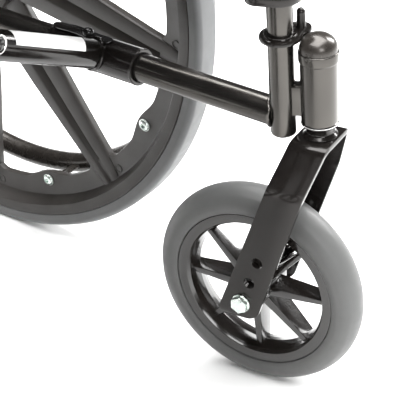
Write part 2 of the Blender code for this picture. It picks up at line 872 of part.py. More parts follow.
def make_brace(letter, side):
    """Sleeve on the lower rail, cross tube and the seat rail at the far side."""
    foot_x = side * HALF_WIDTH
    rail_x = -side * SEAT_RAIL_X
    y = BRACE_Y[letter]
    member = cylinder(
        "cross_tube_" + letter,
        (foot_x, SLEEVE_Y[0], LOWER_RAIL_Z),
        (foot_x, SLEEVE_Y[1], LOWER_RAIL_Z),
        SLEEVE_R,
        PARTS,
        24,
    )
    straight = cylinder(
        helper("tube"),
        (foot_x, y, LOWER_RAIL_Z),
        (rail_x, y, brace_point(side, rail_x)),
        BRACE_R,
        CUTTERS,
        20,
    )
    combine(member, [straight])
    pivot_z = brace_point(side, 0)
    holes = [
        cylinder(
            helper("rail"),
            (foot_x, SLEEVE_Y[0] - 0.02, LOWER_RAIL_Z),
            (foot_x, SLEEVE_Y[1] + 0.02, LOWER_RAIL_Z),
            LOWER_RAIL_R + 0.0005,
            CUTTERS,
            20,
        ),
        cylinder(
            helper("seat"),
            (rail_x, y - 0.03, SEAT_RAIL_Z),
            (rail_x, y + 0.03, SEAT_RAIL_Z),
            POST_R + GAP,
            CUTTERS,
            24,
        ),
        box(
            helper("tail"),
            (min(rail_x, rail_x - side * 0.03), y - 0.02, SEAT_RAIL_Z - 0.04),
            (max(rail_x, rail_x - side * 0.03), y + 0.02, SEAT_RAIL_Z + 0.03),
            CUTTERS,
        ),
        cylinder(helper("pivot"), (0, y - 0.03, pivot_z), (0, y + 0.03, pivot_z), 0.0045, CUTTERS, 12),
    ]
    cut(member, holes)
    finish(member, "frame")

    rail = cylinder(
        "seat_rail_" + side_name(-side),
        (rail_x, SEAT_RAIL_Y[0], SEAT_RAIL_Z),
        (rail_x, SEAT_RAIL_Y[1], SEAT_RAIL_Z),
        POST_R,
        PARTS,
        20,
    )
    finish(rail, "frame")


def make_pivot_bolt():
    z = brace_point(1, 0)
    front = BRACE_Y["a"] - BRACE_R - GAP
    back = BRACE_Y["b"] + BRACE_R + GAP
    bolt = cylinder("pivot_bolt", (0, front - 0.006, z), (0, back + 0.007, z), 0.0040, PARTS, 12)
    between = (BRACE_Y["a"] + BRACE_R + GAP, BRACE_Y["b"] - BRACE_R - GAP)
    extra = [
        cylinder(helper("head"), (0, front - 0.006, z), (0, front, z), 0.0080, CUTTERS, 6),
        cylinder(helper("nut"), (0, back, z), (0, back + 0.007, z), 0.0080, CUTTERS, 6),
        cylinder(helper("washer"), (0, between[0], z), (0, between[1], z), 0.0100, CUTTERS, 16),
    ]
    combine(bolt, extra)
    finish(bolt, "zinc")


def sling(name, outline, along):
    """A sheet that follows an open outline and is swept along a direction, with a thickness."""
    bm = bmesh.new()
    near = [bm.verts.new(p) for p in outline]
    far = [bm.verts.new(p + along) for p in outline]
    for i in range(len(outline) - 1):
        bm.faces.new((near[i], near[i + 1], far[i + 1], far[i]))
    sheet = mesh_from(bm, name, PARTS)
    solidify = sheet.modifiers.new("thickness", "SOLIDIFY")
    solidify.thickness = SLING_THICK
    solidify.offset = 0.0
    return finish(sheet, "vinyl", smooth=False)


def sagged(half, edge, sag):
    """Points (across, height) of a line that sags between its two ends, as a parabola."""
    points = []
    for step in range(SLING_STEPS + 1):
        x = half * (2 * step / SLING_STEPS - 1)
        points.append((x, edge - sag * (1 - (x / half) ** 2)))
    return points


def make_slings():
    """Seat sling over the seat rails and back sling across the canes."""
    front, back = SEAT_SLING_Y
    edge_z = SEAT_RAIL_Z + POST_R + SLING_CLEAR
    outline = [Vector((x, front, z)) for x, z in sagged(SEAT_SLING_HALF, edge_z, SEAT_SAG)]
    sling("seat_sling", outline, Vector((0, back - front, 0)))

    low, high = BACK_SLING_Z
    edge_y = back_y(low) - POST_R - SLING_CLEAR
    outline = [Vector((x, y, low)) for x, y in sagged(HALF_WIDTH + POST_R, edge_y, -BACK_SAG)]
    sling("back_sling", outline, Vector((0, back_y(high) - back_y(low), high - low)))


def back_y(z):
    """Centre line of the leaning part of the back canes."""
    share = (z - 0.560) / (CANE_TOP - 0.560)
    return CANE_Y + CANE_LEAN * max(0.0, share)


# ---------------------------------------------------------------- arms, grips and brakes
def make_arm(side):
    tag = side_name(side)
    x = side * ARM_X
    path = bent_path(
        [
            ((x, ARM_PIVOT_Y, ARM_TOP_Z), 0),
            ((x, ARM_FRONT_Y, ARM_TOP_Z), 0.045),
            ((x, ARM_FRONT_Y, UPPER_RAIL_Z - 0.030), 0),
        ]
    )
    arm = tube("arm_frame_" + tag, path, ARM_R, PARTS)
    rear_y = CANE_Y - 0.020
    low_bar = cylinder(
        helper("low_bar"),
        (x, ARM_FRONT_Y, ARM_BAR_Z),
        (x, rear_y + 0.0015, ARM_BAR_Z),
        ARM_BAR_R - GAP,
        CUTTERS,
        12,
    )
    rear_bar = cylinder(
        helper("rear_bar"),
        (x, rear_y, ARM_BAR_Z - 0.009),
        (x, rear_y, ARM_TOP_Z + 0.002),
        ARM_BAR_R,
        CUTTERS,
        12,
    )
    combine(arm, [low_bar, rear_bar])
    finish(arm, "frame")

    low = Vector((x - PANEL_THICK / 2, ARM_FRONT_Y + ARM_R + GAP, ARM_BAR_Z + ARM_BAR_R + GAP))
    high = Vector((x + PANEL_THICK / 2, rear_y - ARM_BAR_R - GAP, ARM_TOP_Z - ARM_R - GAP))
    panel = box("side_panel_" + tag, low, high, PARTS)
    corner = 0.042
    for_corner = box(
        helper("corner"),
        (low.x - 0.01, ARM_FRONT_Y - corner, ARM_TOP_Z - corner),
        (high.x + 0.01, ARM_FRONT_Y + corner, ARM_TOP_Z + corner),
        CUTTERS,
        Matrix.Rotation(math.radians(45), 4, "X"),
    )
    cut(panel, [for_corner])
    finish(panel, "plastic", smooth=False)

    base = ARM_TOP_Z + ARM_R + GAP
    half = Vector((PAD_SIZE[0] / 2, PAD_SIZE[1] / 2, PAD_SIZE[2] / 2))
    middle = Vector((side * PAD_X, PAD_Y, base + half.z))
    pad = box("arm_pad_" + tag, middle - half, middle + half, PARTS)
    bevel = pad.modifiers.new("edges", "BEVEL")
    bevel.width = 0.007
    bevel.segments = 2
    finish(pad, "vinyl")


def make_grip(side):
    tag = side_name(side)
    x = side * HALF_WIDTH
    grip = lathe(
        "push_grip_" + tag,
        [
            (GRIP_BORE_R, 0.0),
            (0.0165, 0.0),
            (0.0150, 0.010),
            (0.0145, 0.090),
            (0.0160, 0.102),
            (0.0120, 0.108),
            (0.0, 0.108),
            (0.0, 0.1045),
            (GRIP_BORE_R, 0.1045),
        ],
        14,
        Matrix.Translation((x, HANDLE_END_Y - 0.104, CANE_TOP)) @ Matrix.Rotation(-math.pi / 2, 4, "X"),
        PARTS,
    )
    finish(grip, "plastic")


def make_brake(side):
    """Wheel lock: bracket on the upper rail, toggle lever and the shoe that presses the tyre."""
    tag = side_name(side)
    inner = side * (HALF_WIDTH + POST_R + GAP)
    plate_out = inner + side * 0.004
    bracket = box(
        "brake_bracket_" + tag,
        (min(inner, plate_out), -0.236, 0.438),
        (max(inner, plate_out), -0.166, 0.491),
        PARTS,
    )
    boss_end = side * (HALF_WIDTH + BRAKE_BOSS)
    bosses = []
    for y, z in (BRAKE_PIVOT, SHOE_PIVOT):
        bosses.append(
            cylinder(helper("boss"), (inner + side * 0.001, y, z), (boss_end, y, z), 0.0080, CUTTERS, 16)
        )
    combine(bracket, bosses)
    finish(bracket, "frame")

    near = boss_end + side * GAP
    hub_end = side * (HALF_WIDTH + 0.0460)
    y, z = SHOE_PIVOT
    shoe = cylinder("brake_shoe_" + tag, (near, y, z), (hub_end, y, z), 0.0080, PARTS, 16)
    reach = Vector((0, SHOE_CENTRE[0] - y, SHOE_CENTRE[1] - z))
    turn = Matrix.Rotation(math.atan2(reach.z, reach.y), 4, "X")
    middle = Vector(((near + hub_end) / 2, (y + SHOE_CENTRE[0]) / 2, (z + SHOE_CENTRE[1]) / 2))
    half = Vector((abs(hub_end - near) / 2 - 0.0004, reach.length / 2, 0.0060))
    link = box(helper("link"), middle - half, middle + half, CUTTERS, turn)
    bar = cylinder(
        helper("bar"),
        (near + side * 0.0004, *SHOE_CENTRE),
        (side * (REAR_X + 0.014), *SHOE_CENTRE),
        SHOE_R,
        CUTTERS,
        16,
    )
    combine(shoe, [link, bar])
    finish(shoe, "chrome")

    y, z = BRAKE_PIVOT
    lever_end = side * (HALF_WIDTH + 0.0520)
    lever = cylinder("brake_lever_" + tag, (near, y, z), (lever_end, y, z), 0.0085, PARTS, 16)
    rod_x = side * (HALF_WIDTH + 0.0470)
    rod = cylinder(helper("rod"), (rod_x, y, z), (rod_x, y + 0.010, z + 0.100), 0.0045, CUTTERS, 12)
    grip = cylinder(
        helper("grip"),
        (rod_x, y + 0.0065, z + 0.065),
        (rod_x, y + 0.0135, z + 0.135),
        0.0080,
        CUTTERS,
        12,
        radius_end=0.0090,
    )
    combine(lever, [rod, grip])
    finish(lever, "plastic")


# ---------------------------------------------------------------- joints
def joint(name, place, parent, pieces):
    """An empty on a joint's axis. The pieces that the joint moves hang from it where they are."""
    empty = bpy.data.objects.new(name, None)
    empty.location = place
    empty.empty_display_size = 0.03
    PARTS.objects.link(empty)
    if parent is not None:
        empty.parent = parent
        empty.matrix_parent_inverse = Matrix.Translation(-Vector(parent["place"]))
    empty["place"] = place
    for piece in pieces:
        child = bpy.data.objects[piece]
        child.parent = empty
        child.matrix_parent_inverse = Matrix.Translation(-Vector(place))
    return empty


def make_joints():
    """The left side frame stands still; the brace and the right side frame fold towards it."""
    foot_y = sum(SLEEVE_Y) / 2
    middle_y = (BRACE_Y["a"] + BRACE_Y["b"]) / 2
    brace_a = joint(
        "fold_axis",
        (HALF_WIDTH, foot_y, LOWER_RAIL_Z),
        None,
        ["cross_tube_a", "seat_rail_right", "pivot_bolt", "seat_sling"],
    )
    brace_b = joint(
        "brace_pivot_axis", (0.0, middle_y, brace_point(1, 0)), brace_a, ["cross_tube_b", "seat_rail_left"]
    )
    right_pieces = [name + "_right" for name in SIDE_FRAME_PIECES]
    right_frame = joint(
        "right_frame_axis", (-HALF_WIDTH, foot_y, LOWER_RAIL_Z), brace_b, right_pieces
    )
    for side, frame in ((1, None), (-1, right_frame)):
        make_side_joints(side, frame)


def make_side_joints(side, frame):
    tag = "_" + side_name(side)
    fork = joint(
        "caster_swivel_axis" + tag,
        (side * STEM_X, STEM_Y, HOUSING_Z[0]),
        frame,
        ["caster_fork" + tag, "caster_stem" + tag, "caster_axle" + tag],
    )
    centre = caster_frame(side).translation
    joint("caster_spin_axis" + tag, tuple(centre), fork, ["caster_rim" + tag, "caster_tyre" + tag])
    hub = (side * REAR_X, REAR_Y, REAR_R)
    joint("rear_spin_axis" + tag, hub, frame, ["rear_rim" + tag, "rear_tyre" + tag, "handrim" + tag])
    hinge = (side * ARM_X, ARM_PIVOT_Y, ARM_TOP_Z)
    joint("arm_flip_axis" + tag, hinge, frame, ["arm_frame" + tag, "side_panel" + tag, "arm_pad" + tag])
    boss = side * (HALF_WIDTH + BRAKE_BOSS)
    joint("brake_lever_axis" + tag, (boss, *BRAKE_PIVOT), frame, ["brake_lever" + tag])
    joint("brake_shoe_axis" + tag, (boss, *SHOE_PIVOT), frame, ["brake_shoe" + tag])


# ---------------------------------------------------------------- the chair
def main():
    global PARTS, CUTTERS
    clear_scene()
    PARTS = new_collection("manual_wheelchair")
    CUTTERS = new_collection("cutters", hidden=True)
    make_materials()
    for side in (1, -1):
        make_side_frame(side)
        make_front_fittings(side)
        make_caster(side)
        make_rear_wheel(side)
        make_arm(side)
        make_grip(side)
        make_brake(side)
    make_brace("a", 1)
    make_brace("b", -1)
    make_pivot_bolt()
    make_slings()
    make_joints()


main()
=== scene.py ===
"""Looks of the folding wheelchair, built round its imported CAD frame.

Metres, +Z up, floor at z = 0. The chair faces -Y and +X is the occupant's left.
Most pieces are modelled for the left side and mirrored to the right.
"""

import json
import math

import bmesh
import bpy
from mathutils import Matrix, Vector


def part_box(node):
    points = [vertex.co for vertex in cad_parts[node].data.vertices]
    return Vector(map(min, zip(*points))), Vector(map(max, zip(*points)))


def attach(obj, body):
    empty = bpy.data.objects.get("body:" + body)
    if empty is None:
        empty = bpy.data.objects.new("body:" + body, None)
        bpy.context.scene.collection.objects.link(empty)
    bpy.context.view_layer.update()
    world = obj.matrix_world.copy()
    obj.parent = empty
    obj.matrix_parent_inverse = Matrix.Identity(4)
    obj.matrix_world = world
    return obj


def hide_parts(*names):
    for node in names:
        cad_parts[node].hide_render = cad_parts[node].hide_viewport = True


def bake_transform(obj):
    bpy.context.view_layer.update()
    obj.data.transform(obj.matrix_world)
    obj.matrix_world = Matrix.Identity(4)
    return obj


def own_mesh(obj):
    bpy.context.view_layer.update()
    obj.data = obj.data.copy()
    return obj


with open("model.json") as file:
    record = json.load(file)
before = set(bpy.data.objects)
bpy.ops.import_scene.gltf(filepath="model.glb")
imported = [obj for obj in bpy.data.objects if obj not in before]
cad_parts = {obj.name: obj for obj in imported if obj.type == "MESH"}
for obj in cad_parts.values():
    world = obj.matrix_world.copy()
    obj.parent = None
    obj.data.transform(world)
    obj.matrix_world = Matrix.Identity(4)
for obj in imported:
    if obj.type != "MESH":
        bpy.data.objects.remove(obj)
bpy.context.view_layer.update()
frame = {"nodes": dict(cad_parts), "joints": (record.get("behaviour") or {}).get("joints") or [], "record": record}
PIVOT = {joint["name"]: Vector(joint["pos_m"]) for joint in frame["joints"]}
AXIS = {joint["name"]: Vector(joint["axis"]) for joint in frame["joints"]}

# ---------------------------------------------------------------- sizes, taken from the frame
HALF_WIDTH = PIVOT["fold"].x
RAIL_Z = PIVOT["fold"].z
POST_R = 0.0111
POST_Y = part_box("side_tube_left")[0].y + POST_R
POST_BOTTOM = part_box("side_tube_left")[0].z
UPPER_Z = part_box("brake_bracket_left")[0].z + 0.040
UPPER_BEND = 0.055
RAIL_R = 0.0127
CANE_Y = 0.072
CANE_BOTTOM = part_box("back_cane_left")[0].z
CANE_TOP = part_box("back_cane_left")[1].z - POST_R
CANE_LEAN = 0.020
BEND_START_Z = 0.560
HANDLE_END = 0.238
STEM = PIVOT["caster_swivel_left"]
HOUSING_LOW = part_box("caster_housing_left")[0].z
HOUSING_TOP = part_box("caster_housing_left")[1].z
HOUSING_R = 0.0161
CAP_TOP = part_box("caster_cap_left")[1].z
CASTER_AXLE = PIVOT["caster_spin_left"]
CASTER_R = CASTER_AXLE.z
CROWN_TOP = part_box("caster_fork_left")[1].z
REAR_HUB = PIVOT["rear_spin_left"]
REAR_R = REAR_HUB.z
REAR_SPOKES = 9
REAR_SPOKE_PHASE = math.radians(12.15)
CASTER_SPOKES = 8
WEB_BOLT_R = 0.2570
HANDRIM_R = 0.261
HANDRIM_TUBE = 0.0105
HANDRIM_OUT = 0.050
SEAT_RAIL_X = 0.190
SEAT_RAIL_Z = 0.497
SEAT_FRONT, SEAT_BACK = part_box("seat_sling")[0].y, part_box("seat_sling")[1].y
BACK_LOW, BACK_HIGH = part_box("back_sling")[0].z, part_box("back_sling")[1].z
ARM_X = PIVOT["arm_flip_left"].x
ARM_R = 0.0095
ARM_TOP = PIVOT["arm_flip_left"].z
ARM_FRONT = -0.250
BRACE_R = 0.0135
BRACE_Y = {"a": -0.1407, "b": -0.1107}
BRACE_SLOPE = 0.515
SLEEVE_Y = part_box("cross_tube_a")[0].y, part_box("cross_tube_a")[1].y
SLEEVE_R = 0.0167
SEAT_RAIL_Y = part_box("seat_rail_left")[0].y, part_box("seat_rail_left")[1].y
CLOTH = 0.0022
CLOTH_FRAMES = 24
WRAP_R = POST_R + CLOTH / 2 + 0.0004

# Sizes that only the looks have.
BORE_PLAY = 0.0002
COLLAR_THICK = 0.0036
HOUSING_WEB_Z = 0.3000
CASTER_HEAD_X = 0.0383
FORK_HOLE_R = 0.0054
FORK_HOLE_STEP = 0.025
AXLE_HOLE_R = 0.0066
PIN_R = 0.0038
DOME_CAP_R = 0.0163
LABEL_SPAN = 0.0360, 0.1325
STUD_ALONG = 0.1545
STRAP_START, STRAP_LENGTH, STRAP_SCREW_Y = -0.0865, 0.0690, -0.1270
ARM_STRUT_Z = 0.512
BRAKE_ROD_X = HALF_WIDTH + 0.0470
SHOE_CENTRE = Vector((0, -0.1634, 0.4897))
HEM = 0.0007
SLEEVE_POINTS = 9
GRAVITY = 9.81
FLOOR_Z = -0.0004
UPRIGHT = Matrix(((0, 0, 1, 0), (1, 0, 0, 0), (0, 1, 0, 0), (0, 0, 0, 1)))


# ---------------------------------------------------------------- materials
def node(tree, kind, settings=None, **inputs):
    """Add a node, set its plain properties, then its input sockets by name."""
    made = tree.nodes.new(kind)
    for key, value in (settings or {}).items():
        setattr(made, key, value)
    for key, value in inputs.items():
        made.inputs[key.replace("_", " ")].default_value = value
    return made


def noise(tree, coords, scale, detail=3.0, rough=0.5):
    made = node(tree, "ShaderNodeTexNoise", Scale=scale, Detail=detail, Roughness=rough)
    tree.links.new(coords, made.inputs["Vector"])
    return made.outputs["Fac"]


def ramp(tree, value, low, high, start, end):
    made = node(tree, "ShaderNodeMapRange")
    made.inputs["From Min"].default_value = low
    made.inputs["From Max"].default_value = high
    made.inputs["To Min"].default_value = start
    made.inputs["To Max"].default_value = end
    tree.links.new(value, made.inputs["Value"])
    return made.outputs["Result"]


def blend_colours(tree, factor, dark, light):
    made = node(tree, "ShaderNodeMix", {"data_type": "RGBA"})
    made.inputs["A"].default_value = (*dark, 1.0)
    made.inputs["B"].default_value = (*light, 1.0)
    tree.links.new(factor, made.inputs["Factor"])
    return made.outputs["Result"]


def bump(tree, height, strength, distance, below=None):
    made = node(tree, "ShaderNodeBump", Strength=strength, Distance=distance)
    tree.links.new(height, made.inputs["Height"])
    if below is not None:
        tree.links.new(below, made.inputs["Normal"])
    return made.outputs["Normal"]


class Look:
    """A Principled material whose coordinates are the piece's own, in metres."""

    def __init__(self, name, metallic=0.0, coat=0.0, specular=0.5, sheen=0.0):
        self.material = bpy.data.materials.new(name)
        self.material.use_nodes = True
        self.tree = self.material.node_tree
        self.shader = self.tree.nodes["Principled BSDF"]
        self.shader.inputs["Metallic"].default_value = metallic
        self.shader.inputs["Coat Weight"].default_value = coat
        self.shader.inputs["Coat Roughness"].default_value = 0.08
        self.shader.inputs["Specular IOR Level"].default_value = specular
        self.shader.inputs["Sheen Weight"].default_value = sheen
        self.coords = self.tree.nodes.new("ShaderNodeTexCoord").outputs["Object"]

    def link(self, output, socket):
        self.tree.links.new(output, self.shader.inputs[socket])

    def mottled(self, dark, light, scale, rough_low, rough_high, rough_scale):
        """Colour and gloss that drift slowly over the surface."""
        patches = ramp(self.tree, noise(self.tree, self.coords, scale), 0.3, 0.7, 0.0, 1.0)
        self.link(blend_colours(self.tree, patches, dark, light), "Base Color")
        gloss = noise(self.tree, self.coords, rough_scale, 4.0)
        self.link(ramp(self.tree, gloss, 0.3, 0.7, rough_low, rough_high), "Roughness")
        return self

    def grain(self, scale, strength, distance, detail=2.0):
        height = noise(self.tree, self.coords, scale, detail)
        self.link(bump(self.tree, height, strength, distance), "Normal")
        return self


def weave_look(name, dark, light, thread):
    """Woven nylon: two crossed sets of threads that pass over and under each other."""
    look = Look(name, sheen=0.06, specular=0.25)
    tree = look.tree
    split = node(tree, "ShaderNodeSeparateXYZ")
    tree.links.new(look.coords, split.inputs["Vector"])
    rise = node(tree, "ShaderNodeMath", {"operation": "ADD"})
    tree.links.new(split.outputs["Y"], rise.inputs[0])
    tree.links.new(split.outputs["Z"], rise.inputs[1])
    waves = []
    for source in (split.outputs["X"], rise.outputs["Value"]):
        turn = node(tree, "ShaderNodeMath", {"operation": "MULTIPLY"})
        turn.inputs[1].default_value = 2 * math.pi / thread
        tree.links.new(source, turn.inputs[0])
        wave = node(tree, "ShaderNodeMath", {"operation": "SINE"})
        tree.links.new(turn.outputs["Value"], wave.inputs[0])
        waves.append(wave.outputs["Value"])
    cross = node(tree, "ShaderNodeMath", {"operation": "MULTIPLY"})
    tree.links.new(waves[0], cross.inputs[0])
    tree.links.new(waves[1], cross.inputs[1])
    shade = ramp(tree, cross.outputs["Value"], -1.0, 1.0, 0.0, 1.0)
    look.link(blend_colours(tree, shade, dark, light), "Base Color")
    patches = noise(tree, look.coords, 35.0)
    look.link(ramp(tree, patches, 0.3, 0.7, 0.62, 0.8), "Roughness")
    look.link(bump(tree, cross.outputs["Value"], 0.5, 0.0003), "Normal")
    return look.material


def leather_look(name, dark, light):
    """Grained vinyl: small rounded cells with fine creases between them."""
    look = Look(name, specular=0.32)
    look.mottled(dark, light, 60.0, 0.38, 0.52, 90.0)
    cells = node(look.tree, "ShaderNodeTexVoronoi", {"feature": "SMOOTH_F1"}, Scale=650.0)
    look.tree.links.new(look.coords, cells.inputs["Vector"])
    look.link(bump(look.tree, cells.outputs["Distance"], 0.35, 0.0003), "Normal")
    return look.material


def tyre_look(name, side, tread, centre, axle, edge):
    """Grey solid rubber with a painted highlight: the tread is painted a little paler than the sides, as if lit
    from the side.
    """
    look = Look(name, specular=0.45)
    tree = look.tree
    centred = node(tree, "ShaderNodeVectorMath", {"operation": "SUBTRACT"})
    centred.inputs[1].default_value = centre
    tree.links.new(look.coords, centred.inputs[0])
    along = node(tree, "ShaderNodeVectorMath", {"operation": "CROSS_PRODUCT"})
    along.inputs[1].default_value = axle
    tree.links.new(centred.outputs["Vector"], along.inputs[0])
    reach = node(tree, "ShaderNodeVectorMath", {"operation": "LENGTH"})
    tree.links.new(along.outputs["Vector"], reach.inputs[0])
    # Painted highlight: the colour turns paler towards the tread, by distance from the axle.
    painted_tread_highlight = ramp(tree, reach.outputs["Value"], edge[0], edge[1], 0.0, 1.0)
    patches = ramp(tree, noise(tree, look.coords, 45.0, 5.0), 0.3, 0.7, -0.12, 0.12)
    total = node(tree, "ShaderNodeMath", {"operation": "ADD", "use_clamp": True})
    tree.links.new(painted_tread_highlight, total.inputs[0])
    tree.links.new(patches, total.inputs[1])
    look.link(blend_colours(tree, total.outputs["Value"], side, tread), "Base Color")
    look.link(ramp(tree, noise(tree, look.coords, 120.0), 0.3, 0.7, 0.42, 0.56), "Roughness")
    look.link(bump(tree, noise(tree, look.coords, 900.0), 0.12, 0.0003), "Normal")
    return look.material


# Each look's shader settings; its dark and light colours, the scale they drift at, the lowest and highest
# roughness and their scale; and its grain's scale, strength and depth.
PLAIN_LOOKS = {
    "frame_paint": (
        {"metallic": 0.9, "coat": 0.15},
        ((0.052, 0.049, 0.045), (0.074, 0.069, 0.063), 14.0, 0.17, 0.27, 55.0),
        (420.0, 0.05, 0.0003),
    ),
    "black_paint": (
        {"metallic": 0.4, "coat": 0.15, "specular": 0.3},
        ((0.008, 0.007, 0.006), (0.015, 0.013, 0.012), 16.0, 0.12, 0.22, 60.0),
        (420.0, 0.05, 0.0003),
    ),
    "zinc": (
        {"metallic": 1.0},
        ((0.56, 0.64, 0.60), (0.74, 0.78, 0.74), 180.0, 0.22, 0.36, 240.0),
        (700.0, 0.10, 0.0002),
    ),
    "bright_steel": (
        {"metallic": 1.0},
        ((0.70, 0.70, 0.69), (0.80, 0.80, 0.79), 60.0, 0.06, 0.14, 120.0),
        (500.0, 0.03, 0.0002),
    ),
    "black_plastic": (
        {"coat": 0.1, "specular": 0.4},
        ((0.005, 0.0045, 0.0045), (0.010, 0.0095, 0.009), 40.0, 0.13, 0.24, 80.0),
        (500.0, 0.06, 0.0002),
    ),
    "cap_plastic": (
        {"metallic": 0.5, "coat": 0.15},
        ((0.030, 0.026, 0.023), (0.044, 0.039, 0.034), 40.0, 0.22, 0.32, 80.0),
        (300.0, 0.02, 0.0002),
    ),
    "panel_plastic": (
        {"specular": 0.25},
        ((0.005, 0.005, 0.005), (0.009, 0.009, 0.0094), 30.0, 0.42, 0.58, 90.0),
        (950.0, 0.30, 0.0004),
    ),
    "caster_plastic": (
        {"coat": 0.6, "specular": 0.4},
        ((0.006, 0.005, 0.004), (0.012, 0.010, 0.009), 40.0, 0.14, 0.26, 70.0),
        (380.0, 0.08, 0.0003),
    ),
    "wheel_plastic": (
        {"specular": 0.30},
        ((0.019, 0.017, 0.015), (0.028, 0.025, 0.023), 22.0, 0.34, 0.48, 60.0),
        (1100.0, 0.25, 0.0003),
    ),
    "label": (
        {},
        ((0.88, 0.88, 0.87), (0.93, 0.93, 0.92), 50.0, 0.30, 0.42, 90.0),
        (300.0, 0.05, 0.0002),
    ),
}


def make_looks():
    looks = {}
    for name, (shading, drift, grain) in PLAIN_LOOKS.items():
        looks[name] = Look(name, **shading).mottled(*drift).grain(*grain).material
    looks["sling_vinyl"] = weave_look("sling_nylon", (0.003, 0.003, 0.0033), (0.014, 0.014, 0.015), 0.0016)
    looks["pad_vinyl"] = leather_look("pad_vinyl", (0.005, 0.005, 0.0054), (0.011, 0.011, 0.012))
    for tag, sign in (("left", 1), ("right", -1)):
        hub = Vector((sign * REAR_HUB.x, REAR_HUB.y, REAR_HUB.z))
        # Each tyre's second colour is the painted highlight on its tread.
        looks["rear_tyre_" + tag] = tyre_look(
            "rear_tyre_" + tag, (0.074, 0.075, 0.075), (0.130, 0.134, 0.136), hub, (1, 0, 0), (0.2990, 0.3035)
        )
        axle = Vector((CASTER_AXLE.x * sign, CASTER_AXLE.y, CASTER_AXLE.z))
        looks["caster_tyre_" + tag] = tyre_look(
            "caster_tyre_" + tag,
            (0.062, 0.062, 0.061),
            (0.086, 0.087, 0.086),
            axle,
            AXIS["caster_spin_" + tag],
            (0.088, 0.0985),
        )
    return looks


LOOKS = make_looks()


# ---------------------------------------------------------------- mesh helpers
def loft(rings, closed=False, caps=True):
    """Faces between rings of points. A closed loft joins its last ring to its first."""
    bm = bmesh.new()
    rows = [[bm.verts.new(point) for point in ring] for ring in rings]
    count = len(rows[0])
    following = rows[1:] + ([rows[0]] if closed else [])
    for here, there in zip(rows, following):
        for i in range(count):
            j = (i + 1) % count
            bm.faces.new((here[i], here[j], there[j], there[i]))
    if caps and not closed:
        bm.faces.new(rows[0])
        bm.faces.new(list(reversed(rows[-1])))
    bmesh.ops.remove_doubles(bm, verts=bm.verts, dist=1e-7)
    bmesh.ops.recalc_face_normals(bm, faces=bm.faces)
    return bm


def fillet(before, here, after, radius, steps):
    """Points of the arc that rounds the corner at here, between its two neighbours."""
    back = (before - here).normalized()
    ahead = (after - here).normalized()
    half = back.angle(ahead) / 2
    reach = radius / math.tan(half)
    centre = here + (back + ahead).normalized() * radius / math.sin(half)
    first = here + back * reach - centre
    last = here + ahead * reach - centre
    whole = first.angle(last)
    points = []
    for step in range(steps + 1):
        a = math.sin((1 - step / steps) * whole) / math.sin(whole)
        b = math.sin(step / steps * whole) / math.sin(whole)
        points.append(centre + first * a + last * b)
    return points


def rounded(corners, steps=4):
    """Corner points (x, y, radius) of a closed outline, with each corner turned into an arc."""
    outline = []
    count = len(corners)
    for i, (x, y, radius) in enumerate(corners):
        here = Vector((x, y))
        if radius == 0:
            outline.append(here)
            continue
        before, after = Vector(corners[i - 1][:2]), Vector(corners[(i + 1) % count][:2])
        outline += fillet(before, here, after, radius, steps)
    return outline


def rectangle(left, low, right, high, corner, steps=4):
    """Closed outline of a rectangle with rounded corners."""
    corners = [(left, low), (right, low), (right, high), (left, high)]
    return rounded([(x, y, corner) for x, y in corners], steps)


def place_of(x, y, z, origin):
    """Frame with these axes and this origin."""
    place = Matrix.Identity(4)
    for column, values in enumerate((x, y, z, origin)):
        place.col[column][:3] = values
    return place


def place_along(origin, z_axis, x_hint=(0, 0, 1)):
    """Frame with Z along an axis and X as near as it can be to the hint."""
    z = Vector(z_axis).normalized()
    x = Vector(x_hint)
    x = (x - z * z.dot(x)).normalized()
    return place_of(x, z.cross(x), z, Vector(origin))


def angles(count):
    return [2 * math.pi * i / count for i in range(count)]


def turned(outline, place, steps=64):
    """A closed outline of (radius, height) points turned about the local Z axis."""
    rings = []
    for angle in angles(steps):
        cos, sin = math.cos(angle), math.sin(angle)
        rings.append([place @ Vector((r * cos, r * sin, z)) for r, z in outline])
    return loft(rings, closed=True)


def cylinder(radius, low, high, place, steps):
    """A plain round bar about the local Z axis, between two heights."""
    return turned([(0, low), (radius, low), (radius, high), (0, high)], place, steps)


def dome(radius, base, rise, steps=6, first=0):
    """Quarter ellipse of (radius, height) points, from its foot up to the axis."""
    turns = [math.radians(90 * step / steps) for step in range(first, steps + 1)]
    return [(radius * math.cos(a), base + rise * math.sin(a)) for a in turns]


def circle(radius, sides=28):
    return [(radius * math.cos(a), radius * math.sin(a)) for a in angles(sides)]


def swept(points, radius, sides=28, ends=(0.0015, 0.0015), section=None):
    """A round bar along a smooth line of points, with its ends rounded over."""
    points = [Vector(p) for p in points]
    tangents = []
    for i in range(len(points)):
        ahead = points[min(i + 1, len(points) - 1)]
        behind = points[max(i - 1, 0)]
        tangents.append((ahead - behind).normalized())
    side = tangents[0].orthogonal().normalized()
    outline = section or circle(1.0, sides)
    rings = []

    def ring(centre, tangent, across, size):
        other = tangent.cross(across)
        return [centre + (across * u + other * v) * size for u, v in outline]

    def cap(point, tangent, corner, way, degrees):
        for angle in degrees:
            turn = math.radians(angle)
            seat = point + tangent * (way * (corner - corner * math.cos(turn)))
            rings.append(ring(seat, tangent, side, radius - corner * (1 - math.sin(turn))))

    for i, (point, tangent) in enumerate(zip(points, tangents)):
        side = (side - tangent * tangent.dot(side)).normalized()
        if i == 0 and ends[0]:
            cap(point, tangent, ends[0], 1, (0, 30, 60))
            point = point + tangent * ends[0]
        if i == len(points) - 1 and ends[1]:
            rings.append(ring(point - tangent * ends[1], tangent, side, radius))
            cap(point, tangent, ends[1], -1, (60, 30, 0))
            continue
        rings.append(ring(point, tangent, side, radius))
    return loft(rings)


def bent_path(corners, steps=10):
    """Points along straight runs joined by arcs. Each corner is (point, bend radius)."""
    knots = [Vector(point) for point, _ in corners]
    points = [knots[0]]
    for i in range(1, len(corners) - 1):
        points += fillet(knots[i - 1], knots[i], knots[i + 1], corners[i][1], steps)
    return points + [knots[-1]]


